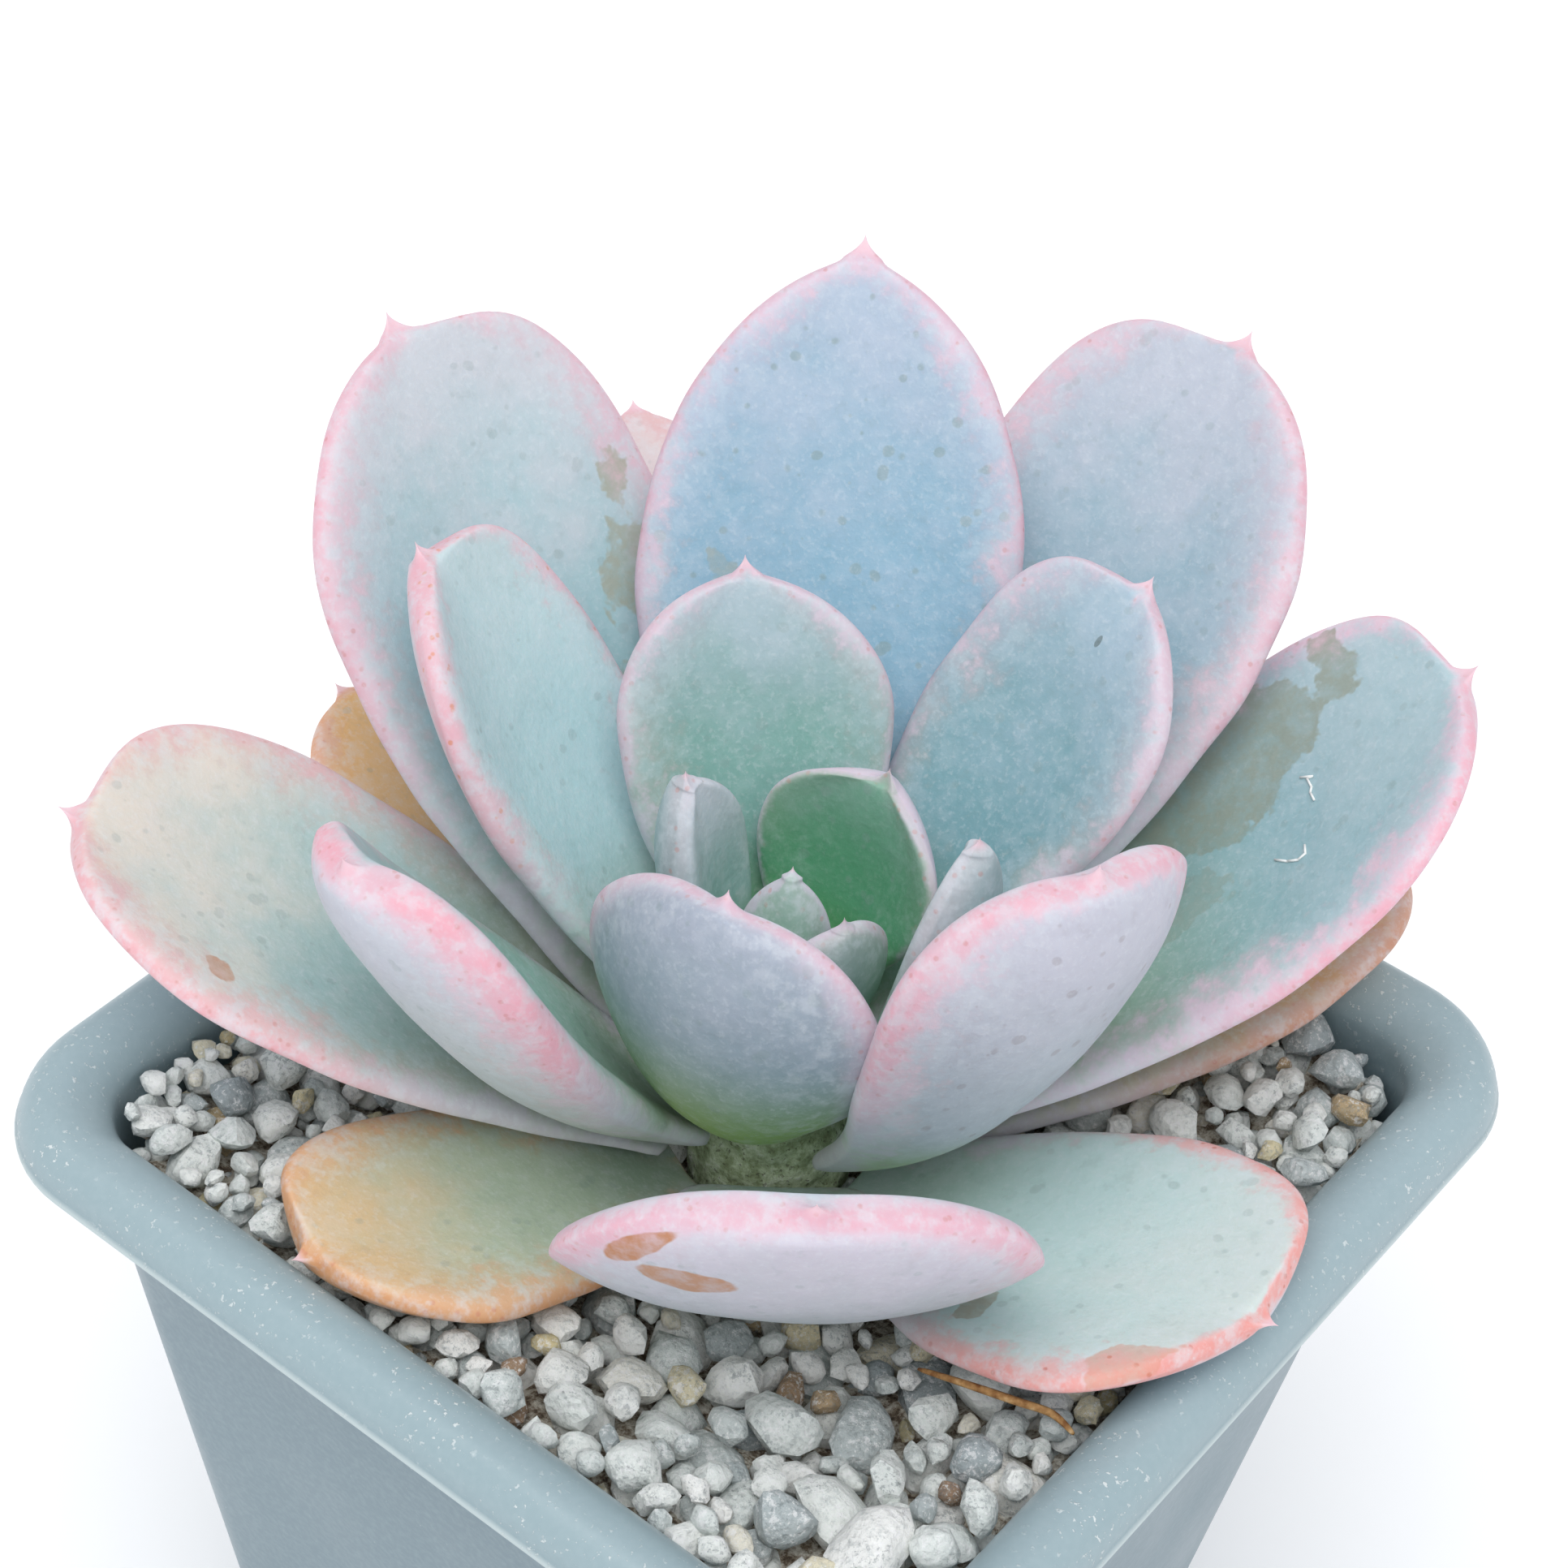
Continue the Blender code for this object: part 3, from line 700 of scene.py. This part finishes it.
leafPieces = {}
for leafName in leafShapes:
    skin, skinMaterial = buildLeafMesh(leafName), leafMaterial(leafName)
    piece = finishPiece(leafName + "_skin", skin, skinMaterial, [leafName])
    modifier = piece.modifiers.new("soften", "SUBSURF")
    modifier.levels = 1
    modifier.render_levels = 1
    leafPieces[leafName] = piece
print("leaves ready:", len(leafPieces))


# Pot

potShape = {
    "wall": 1.2,  # mm
    "floor": 1.6,
    "draft": 0.114,  # mm in for each mm down
    "wallCorner": 5.0,
    "baseCorner": 1.2,
    "lipCorner": 9.4,
    "overhang": 4.5,
    "crest": 2.4,
    "hole": 6.5,
    "holeSpacing": 27,
    "flash": 0.15,  # mould seam along the lip's lower edge
    "cornerSteps": 14,
    "sideSteps": 6,
    "rimSteps": 12,
    "seamHalf": 0.14,
}


def wallInset(height):
    return potShape["overhang"] + (lipHeight / mm - height) * potShape["draft"]


def squarePoint(inset, index):
    # Point on a rounded square this far inside the lip, in mm
    steps = potShape["cornerSteps"] + potShape["sideSteps"]
    quarter, step = divmod(index % (4 * steps), steps)
    half = potWidth / mm / 2 - inset
    corner = max(potShape["lipCorner"] - inset, potShape["wallCorner"])
    if step <= potShape["cornerSteps"]:
        angle = math.pi / 2 * step / potShape["cornerSteps"]
        x, y = half - corner + corner * math.cos(angle), half - corner + corner * math.sin(angle)
    else:
        x = (half - corner) * (1 - 2 * (step - potShape["cornerSteps"]) / potShape["sideSteps"])
        y = half
    for _ in range(quarter):
        x, y = -y, x
    return x, y


def potProfile():
    # (inset, height) in mm from the foot up the outside, over the rim and down the inside
    lip = lipHeight / mm
    foot = wallInset(0)
    base = potShape["baseCorner"]
    wall = potShape["wall"]
    crest = potShape["crest"]
    steps = potShape["rimSteps"]
    profile = []
    for i in range(5):
        angle = math.pi / 2 * i / 4
        profile.append((foot + base * (1 - math.sin(angle)), base * (1 - math.cos(angle))))
    for i in range(1, 9):
        height = base + (lip - 1.5 - base) * i / 8
        profile.append((wallInset(height), height))
    under = rimRise - wall
    top = wallInset(lip)
    for i in range(1, steps + 1):
        angle = math.pi * (1 - i / steps)
        reach = (top - crest) if angle > math.pi / 2 else (crest - wall)
        profile.append((crest - reach * math.cos(angle), lip + under * math.sin(angle)))
    profile.append((wall * 0.5, lip - 0.2))
    profile.append((-potShape["flash"], lip - potShape["seamHalf"]))
    profile.append((-potShape["flash"], lip + potShape["seamHalf"]))
    for i in range(1, 2 * steps + 1):
        angle = math.pi * i / (2 * steps)
        inner = top + wall - crest
        reach = crest if angle < math.pi / 2 else inner
        profile.append((crest - reach * math.cos(angle), lip + rimRise * math.sin(angle)))
    floor = potShape["floor"]
    for i in range(1, 8):
        height = lip + (floor + base - lip) * i / 7
        profile.append((wallInset(height) + wall, height))
    profile.append((wallInset(floor) + wall + base, floor))
    return profile


def buildPot():
    profile = potProfile()
    count = 4 * (potShape["cornerSteps"] + potShape["sideSteps"])
    mesh = unitSheet(count, len(profile) - 1)
    seam = mesh.verts.layers.float.new("seam")
    for vert in mesh.verts:
        index = round((vert.co.x + 0.5) * count)
        inset, height = profile[round((vert.co.y + 0.5) * (len(profile) - 1))]
        vert[seam] = float(inset < 0)
        x, y = squarePoint(inset, index)
        vert.co = Vector((x, y, height)) * mm
    closeSkin(mesh)
    cutter = bmesh.new()
    spacing = potShape["holeSpacing"] / 2 * mm
    for x in (-spacing, spacing):
        for y in (-spacing, spacing):
            bmesh.ops.create_cone(
                cutter,
                cap_ends=True,
                segments=40,
                radius1=potShape["hole"] / 2 * mm,
                radius2=potShape["hole"] / 2 * mm,
                depth=4 * potShape["floor"] * mm,
                matrix=Matrix.Translation((x, y, 0)),
            )
    return mesh, cutter


def plasticMaterial():
    # Polypropylene, injection moulded: satin skin, slightly cloudy, with dried lime and grit dust. Its rim
    # is painted lighter as a painted highlight, and the pale line on the mould seam is a painted highlight
    # on the lip's lower edge
    made, tree, shader = newMaterial("polypropylene", Roughness=0.36, IOR=1.49)
    kit = nodeKit(tree, shader)
    cloud = kit.cloudy(14, 4, 0.6)
    grain = kit.cloudy(0.5, 3)
    specks = kit.cloudy(0.45, 2, 0.7)
    spread = kit.cloudy(9, 2)
    height = kit.add("SeparateXYZ", {0: kit.place}, out="Z")
    # nearRim: the band below the rim's crest, used for the painted rim highlight and for the real grit dust
    nearRim = kit.fade(height, 66, 72.5)
    shade = kit.mixed(cloud, "#667D87", "#748992")
    speckMask = kit.fade(specks, 0.61, 0.68)
    spreadMask = kit.fade(spread, 0.35, 0.65)
    dust = kit.times(speckMask, spreadMask, nearRim)
    wallSpecks = kit.fade(specks, 0.74, 0.78)
    haze = kit.level(grain, 0.4, 0.8)
    seam = kit.marked("seam")
    colour = paint(tree, shade, [
        # painted highlight: the rim is painted lighter towards its crest, where the light falls on its top
        ("#A9BDC1", nearRim, 0.65),
        ("#B5C4C8", haze, 0.15),
        ("#E8ECEA", dust, 0.7),
        ("#C9D3D3", wallSpecks, 0.4),
        # painted highlight: the pale line on the mould seam stands in for the light caught along the lip's
        # lower edge
        ("#D0DBDA", seam, 0.6),
    ])
    kit.feed("Base Color", colour)
    kit.feed("Roughness", kit.level(cloud, 0.3, 0.7, 0.28, 0.42))
    kit.feed("Normal", kit.bump(dust, 0.4, 0.0002, kit.bump(grain, 0.1, 0.00008)))
    return made


def makePot():
    mesh, cutter = buildPot()
    pot = finishPiece("pot_shell", mesh, plasticMaterial(), ["pot"], smoothAngle=40)
    data = bpy.data.meshes.new("holes")
    cutter.to_mesh(data)
    cutter.free()
    holes = bpy.data.objects.new("holes", data)
    bpy.context.scene.collection.objects.link(holes)
    cut = pot.modifiers.new("holes", "BOOLEAN")
    cut.object = holes
    cut.operation = "DIFFERENCE"
    cut.solver = "EXACT"
    graph = bpy.context.evaluated_depsgraph_get()
    done = bpy.data.meshes.new_from_object(pot.evaluated_get(graph))
    pot.modifiers.clear()
    pot.data = done
    pot.data.set_sharp_from_angle(angle=math.radians(40))
    bpy.data.objects.remove(holes)


makePot()
print("pot ready")


# Grit: pumice in grains of 2 to 5 mm that fell where they lie

gritShape = {
    "seed": 5,
    "grains": 2400,
    "smallest": 0.7,  # mm, half a grain's width
    "largest": 2.4,
    "tries": 12,
    "packing": 0.8,
    "highest": 0.4,  # mm above the grit's level that a grain's middle may lie
    "heap": 5.2,  # mm more of that beside the walls
    "heapFrom": 10,  # mm from the middle
    "stemRoom": 5.2,  # mm from the middle that the stem takes up
    "handful": 40,  # grains shaped at a time, which is quicker
}
stoneShape = {
    "lumps": ((0.3, 0.9), (0.24, 2.1)),  # (height, how many to a radius)
    "facets": 8,
    "facetAt": (0.6, 0.9),  # radii from the middle
    "facetDepth": 0.8,  # share of what lies past a facet that is pressed in
    "stretch": ((0.95, 1.3), (0.8, 1.05), (0.65, 0.95)),
    "lean": 0.5,
}


def innerHalf(height):
    # Half the width between the pot's inner walls, in mm
    return potWidth / mm / 2 - wallInset(height) - potShape["wall"]


def heapHeight(x, y):
    # mm that the grit is banked up towards the walls
    start = gritShape["heapFrom"]
    away = ((abs(x) ** 5 + abs(y) ** 5) ** 0.2 - start) / (innerHalf(lipHeight / mm) - start)
    return gritShape["heap"] * min(1.15, max(0, away)) ** 1.3


def leafTree():
    verts, faces = [], []
    for piece in leafPieces.values():
        base = len(verts)
        verts += [vert.co / mm for vert in piece.data.vertices]
        faces += [[base + i for i in face.vertices] for face in piece.data.polygons]
    return BVHTree.FromPolygons(verts, faces)


def underLeaf(leaves, x, y, z, radius, bed):
    # Whether a leaf comes down to where this grain would lie
    for dx, dy in ((0, 0), (0.8, 0), (-0.8, 0), (0, 0.8), (0, -0.8)):
        foot = Vector((x + dx * radius, y + dy * radius, bed - 6))
        hit = leaves.ray_cast(foot, Vector((0, 0, 1)))[0]
        if hit is not None and hit.z < z + 0.8 * radius:
            return True
    return False


def shapeStone(mesh, rng, subdivisions, centre, size, tone):
    verts = bmesh.ops.create_icosphere(mesh, subdivisions=subdivisions, radius=1)["verts"]
    shift = Vector([rng.uniform(-50, 50) for _ in range(3)])
    for vert in verts:
        for lump, often in stoneShape["lumps"]:
            vert.co *= 1 + lump * noise.noise(vert.co * often + shift)
    for _ in range(stoneShape["facets"]):
        normal = Vector([rng.gauss(0, 1) for _ in range(3)]).normalized()
        limit = rng.uniform(*stoneShape["facetAt"])
        for vert in verts:
            past = vert.co.dot(normal) - limit
            if past > 0:
                vert.co -= normal * (stoneShape["facetDepth"] * past)
    stretch = Matrix.Diagonal([rng.uniform(*span) for span in stoneShape["stretch"]])
    turn = Matrix.Rotation(rng.uniform(0, 6.3), 3, "Z")
    turn = turn @ Matrix.Rotation(rng.gauss(0, stoneShape["lean"]), 3, "X")
    for vert in verts:
        vert.co = (turn @ (stretch @ vert.co)) * size + centre
        vert[mesh.verts.layers.float["tone"]] = tone


def pourGrit():
    rng = random.Random(gritShape["seed"])
    leaves = leafTree()
    bed = bedHigh.z / mm
    half = innerHalf(bed + gritShape["heap"]) - 0.1
    fixed = []
    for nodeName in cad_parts:
        if nodeName.startswith("grit_stone"):
            low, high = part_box(nodeName)
            middle = (low + high) / (2 * mm)
            fixed.append((nodeName, middle, (high - low).x / (2 * mm)))
    placed = np.array([(m.x, m.y, m.z, r) for _, m, r in fixed])
    grains = []
    level = gritLevel / mm
    smallest = gritShape["smallest"]
    for _ in range(gritShape["grains"]):
        size = smallest + (gritShape["largest"] - smallest) * rng.random() ** 1.9
        best = None
        for _ in range(gritShape["tries"]):
            x, y = rng.uniform(-half, half), rng.uniform(-half, half)
            coarse = 0.75 + 0.35 * max(0, min(1, (x - y) / 40))  # larger towards the front corner
            radius = size * coarse
            atStem = math.hypot(x, y) < gritShape["stemRoom"] + radius
            if atStem or max(abs(x), abs(y)) > half - radius:
                continue
            corner = half - potShape["wallCorner"]
            if abs(x) > corner and abs(y) > corner:
                if math.hypot(abs(x) - corner, abs(y) - corner) > potShape["wallCorner"] - radius:
                    continue
            gap = np.hypot(placed[:, 0] - x, placed[:, 1] - y)
            reach = placed[:, 3] + radius
            near = gap < reach
            z = bed - 1 + radius * 0.7 + 0.9 * heapHeight(x, y)
            if near.any():
                above = np.sqrt(reach[near] ** 2 - gap[near] ** 2) * gritShape["packing"]
                z = max(z, (placed[near, 2] + above).max())
            top = level + gritShape["highest"] + heapHeight(x, y)
            depth = z - top  # the grain settles where the heap is furthest from full
            if best is not None and depth >= best[4] or depth > 0:
                continue
            if not underLeaf(leaves, x, y, z, radius, bed):
                best = (x, y, z, radius, depth)
        if best is None:
            continue
        x, y, z, radius, _ = best
        placed = np.vstack([placed, best[:4]])
        grains.append((Vector((x, y, z)), radius))
    return rng, fixed, grains


def pumiceMaterial():
    # Pumice: volcanic glass foam, crushed and sieved. Matt, pitted, pale with dark mineral specks, and with
    # painted shade in its pits
    made, tree, shader = newMaterial("pumice_grit", Roughness=0.92, IOR=1.5)
    kit = nodeKit(tree, shader)
    tone = kit.marked("tone")
    shades = kit.add("ValToRGB", {0: tone}, stops=[
        (0, "#A9B3B6"), (0.1, "#CED6D4"), (0.3, "#E8EEEA"), (0.55, "#F6FAF5"), (0.8, "#FFFFFB"),
        (0.88, "#EBE3C8"), (0.94, "#DDCFA0"), (0.975, "#B99A7A"), (1, "#7B6558"),
    ])
    blotch = kit.cloudy(0.8, 6, 0.78)
    salt = kit.cloudy(0.38, 3, 0.75)
    pits = kit.add("TexVoronoi", {"Vector": kit.place, "Scale": 1 / 0.55, "Randomness": 1})
    dark = kit.fade(blotch, 0.52, 0.62)
    chalky = kit.fade(blotch, 0.47, 0.4)
    pale = kit.fade(salt, 0.44, 0.34)
    speckled = kit.fade(kit.cloudy(3, 1), 0.42, 0.6)
    pepper = kit.times(kit.fade(salt, 0.54, 0.62), speckled)
    # pit: the pores, which are painted darker as painted shade
    pit = kit.fade(pits, 0.1, 0.3, 1, 0)
    colour = paint(tree, shades, [
        ("#A4AFB0", dark, 0.35),
        ("#FFFFFF", chalky, 0.6),
        ("#667177", pepper, 0.42),
        ("#FCFDFB", pale, 0.7),
        # painted shade in the pits
        ("#8F9593", pit, 0.15),
    ])
    kit.feed("Base Color", colour)
    bump = kit.bump(blotch, 0.8, 0.0004)
    bump = kit.bump(pits, 0.6, 0.0002, bump)
    bump = kit.bump(salt, 0.5, 0.00012, bump)
    kit.feed("Normal", bump)
    return made


def soilMaterial():
    # Peat and bark compost: dark, crumbly and matt, with pale bits of pumice dust
    made, tree, shader = newMaterial("compost", Roughness=0.95)
    kit = nodeKit(tree, shader)
    crumbs = kit.cloudy(0.8, 5, 0.7)
    shades = kit.add("ValToRGB", {0: crumbs}, stops=[
        (0.3, "#3A3028"), (0.42, "#7A6A58"), (0.5, "#B5AC9C"), (0.6, "#E2DED2"),
    ])
    kit.feed("Base Color", shades)
    kit.feed("Normal", kit.bump(crumbs, 1, 0.0006))
    return made


pumice = pumiceMaterial()
soil = soilMaterial()


def makeGrit():
    rng, fixed, grains = pourGrit()
    mesh = bmesh.new()
    mesh.verts.layers.float.new("tone")
    handful = gritShape["handful"]
    for first in range(0, len(grains), handful):
        part = bmesh.new()
        part.verts.layers.float.new("tone")
        for centre, radius in grains[first : first + handful]:
            shapeStone(part, rng, 2, centre * mm, radius * 1.12 * mm, rng.random())
        shapes = bpy.data.meshes.new("handful")
        part.to_mesh(shapes)
        part.free()
        mesh.from_mesh(shapes)
        bpy.data.meshes.remove(shapes)
    finishPiece("loose_grit", mesh, pumice, smoothAngle=38)
    for nodeName, centre, radius in fixed:
        mesh = bmesh.new()
        mesh.verts.layers.float.new("tone")
        shapeStone(mesh, rng, 4, centre * mm, radius * 1.1 * mm, rng.uniform(0.1, 0.85))
        finishPiece(nodeName + "_pumice", mesh, pumice, [nodeName], smoothAngle=50)
    print("grit ready:", len(grains), "grains and", len(fixed), "larger stones")


makeGrit()


def makeSoilSurface():
    # The dusty top of the bed under the loose grains
    half = innerHalf(bedHigh.z / mm) - 0.4
    corner = potShape["wallCorner"]
    mesh = bmesh.new()
    bmesh.ops.create_grid(mesh, x_segments=70, y_segments=70, size=half)
    for vert in mesh.verts:
        x, y = vert.co.x, vert.co.y
        past = Vector((max(0, abs(x) - half + corner), max(0, abs(y) - half + corner)))
        if past.length > corner:
            pull = past * (corner / past.length)
            x = math.copysign(half - corner + pull.x, x)
            y = math.copysign(half - corner + pull.y, y)
        bump = 0.7 * noise.noise(Vector((x, y, 0)) / 2.5) + 0.4 * noise.noise(Vector((x, y, 9)) / 0.9)
        bump += 0.9 * heapHeight(x, y)
        vert.co = Vector((x, y, bedHigh.z / mm + bump)) * mm
    made = bmesh.ops.extrude_face_region(mesh, geom=mesh.faces)["geom"]
    for vert in [v for v in made if isinstance(v, bmesh.types.BMVert)]:
        vert.co.z = bedLow.z
        vert.co.xy *= innerHalf(bedLow.z / mm) / innerHalf(bedHigh.z / mm)
    bmesh.ops.recalc_face_normals(mesh, faces=mesh.faces)
    finishPiece("bed_surface", mesh, soil, ["grit_bed"])


makeSoilSurface()
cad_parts["potting_mix"].data.materials.clear()
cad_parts["potting_mix"].data.materials.append(soil)


# Stem: old corky stem with the scars of fallen leaves

stemShape = {
    # (height above the grit, radius) in mm
    "profile": (
        (-14, 3.0), (-6, 4.6), (-3, 5.5), (1, 5.4), (6, 4.7), (10, 3.5), (13.5, 2.3), (16.5, 1.0),
    ),
    "around": 48,
    "rows": 60,
    "roughness": 0.5,  # mm
}


def stemMaterial():
    made, tree, shader = newMaterial("corky_stem", Roughness=0.85)
    kit = nodeKit(tree, shader)
    crust = kit.cloudy(1.2, 5, 0.7)
    fine = kit.cloudy(0.35, 3)
    shades = kit.add("ValToRGB", {0: crust}, stops=[
        (0.3, "#77805F"), (0.45, "#A0B088"), (0.55, "#C0D0AC"), (0.7, "#E2EADB"),
    ])
    bits = kit.fade(fine, 0.6, 0.68)
    colour = paint(tree, shades, [("#3F372B", bits, 0.6)])
    kit.feed("Base Color", colour)
    kit.feed("Normal", kit.bump(crust, 0.8, 0.0006))
    return made


def makeStem():
    profile = stemShape["profile"]
    heights = [z for z, _ in profile]
    radii = [r for _, r in profile]
    mesh = unitSheet(stemShape["around"], stemShape["rows"])
    for vert in mesh.verts:
        angle = 2 * math.pi * (vert.co.x + 0.5)
        z = heights[0] + (heights[-1] - heights[0]) * (vert.co.y + 0.5)
        out = Vector((math.cos(angle), math.sin(angle), 0))
        radius = float(np.interp(z, heights, radii))
        spot = out * radius + Vector((0, 0, z))
        radius += stemShape["roughness"] * noise.noise(spot / 1.6) * min(1, radius / 2)
        vert.co = (out * radius + Vector((0, 0, z))) * mm + Vector((0, 0, gritLevel))
    closeSkin(mesh)
    finishPiece("corky_stem", mesh, stemMaterial(), ["stem_and_root"])


makeStem()


# Dry fibre on the grit

fibreShape = {
    # mm, heights above the grit's level: it lies on the banked grains
    "course": (
        (20.6, -11.4, 4.6), (24.2, -11.3, 6.0), (27.3, -10.7, 6.5), (29.4, -9.8, 6.2), (31.0, -9.6, 5.4),
    ),
    "radius": 0.28,  # mm
    "sides": 8,
    "rows": 24,
}


def fibreMaterial():
    # Dead root: straw brown, dry and matt
    made, tree, shader = newMaterial("dry_root", Roughness=0.85)
    kit = nodeKit(tree, shader)
    shades = kit.add("ValToRGB", {0: kit.cloudy(0.6, 3)}, stops=[
        (0.35, "#8A5A30"), (0.6, "#C79A62"), (0.75, "#E0C195"),
    ])
    kit.feed("Base Color", shades)
    return made


def makeFibre():
    course = [Vector(p) for p in fibreShape["course"]]
    base = Vector((0, 0, gritLevel / mm))
    mesh = unitSheet(fibreShape["sides"], fibreShape["rows"])
    for vert in mesh.verts:
        angle = 2 * math.pi * (vert.co.x + 0.5)
        share = vert.co.y + 0.5
        at = share * (len(course) - 1)
        i = min(int(at), len(course) - 2)
        points = [course[max(0, min(len(course) - 1, i + k))] for k in (-1, 0, 1, 2)]
        t = at - i
        spot = 0.5 * (
            2 * points[1]
            + (points[2] - points[0]) * t
            + (2 * points[0] - 5 * points[1] + 4 * points[2] - points[3]) * t * t
            + (3 * points[1] - points[0] - 3 * points[2] + points[3]) * t**3
        )
        radius = fibreShape["radius"] * (0.35 + 0.65 * math.sin(math.pi * share) ** 0.5)
        side = Vector((0.1, 1, 0)).normalized()
        ring = side * math.cos(angle) + Vector((0, 0, 1)) * math.sin(angle)
        vert.co = (base + spot + ring * radius) * mm
    closeSkin(mesh)
    finishPiece("dry_root", mesh, fibreMaterial(), ["dry_fibre"])


makeFibre()


# Two bits of white thread stuck to the right leaf's upper side. Each has a place, as (across, along),
# and bends at points given from there in mm, level and up the leaf.

threadShape = {
    "leaf": "leaf_outer_right",
    "radius": 0.09,  # mm
    "sides": 5,
    "courses": (
        ((-0.25, 0.665), ((-0.5, -1.2), (0.2, -0.3), (0.6, 0.5), (0.4, 1.1), (-0.4, 1.1))),
        ((0, 0.735), ((-1.2, -0.4), (-0.7, 0.4), (-0.8, 0), (0.1, 0.1), (0.5, -0.1), (1.3, 0))),
    ),
}


def makeThreads():
    leaf = leafPieces[threadShape["leaf"]].data
    along = leaf.attributes["along"].data
    across = leaf.attributes["across"].data
    upper = leaf.attributes["upper"].data
    top = [i for i in range(len(leaf.vertices)) if upper[i].value > 0]
    faces = [face.vertices[:] for face in leaf.polygons]
    skin = BVHTree.FromPolygons([vert.co for vert in leaf.vertices], faces)
    radius = threadShape["radius"] * mm
    made, _, _ = newMaterial("cotton_thread", Base_Color=linear("#F2F3F0"), Roughness=0.8)
    mesh = bmesh.new()
    for (u, t), bends in threadShape["courses"]:
        start = leaf.vertices[
            min(top, key=lambda i: (across[i].value - u) ** 2 + 4 * (along[i].value - t) ** 2)
        ]
        level = Vector((0, 0, 1)).cross(start.normal).normalized()
        rise = start.normal.cross(level)
        points = []
        for right, up in bends:
            place, normal, _, _ = skin.find_nearest(start.co + (level * right + rise * up) * mm)
            points.append(place + normal * radius)
        for low, high in zip(points, points[1:]):
            line = high - low
            turn = line.to_track_quat("Z", "Y").to_matrix().to_4x4()
            bmesh.ops.create_cone(
                mesh,
                cap_ends=True,
                segments=threadShape["sides"],
                radius1=radius,
                radius2=radius,
                depth=line.length + radius,
                matrix=Matrix.Translation((low + high) / 2) @ turn,
            )
    finishPiece("cotton_thread", mesh, made)


makeThreads()
print("soil, stem, fibre and threads ready")
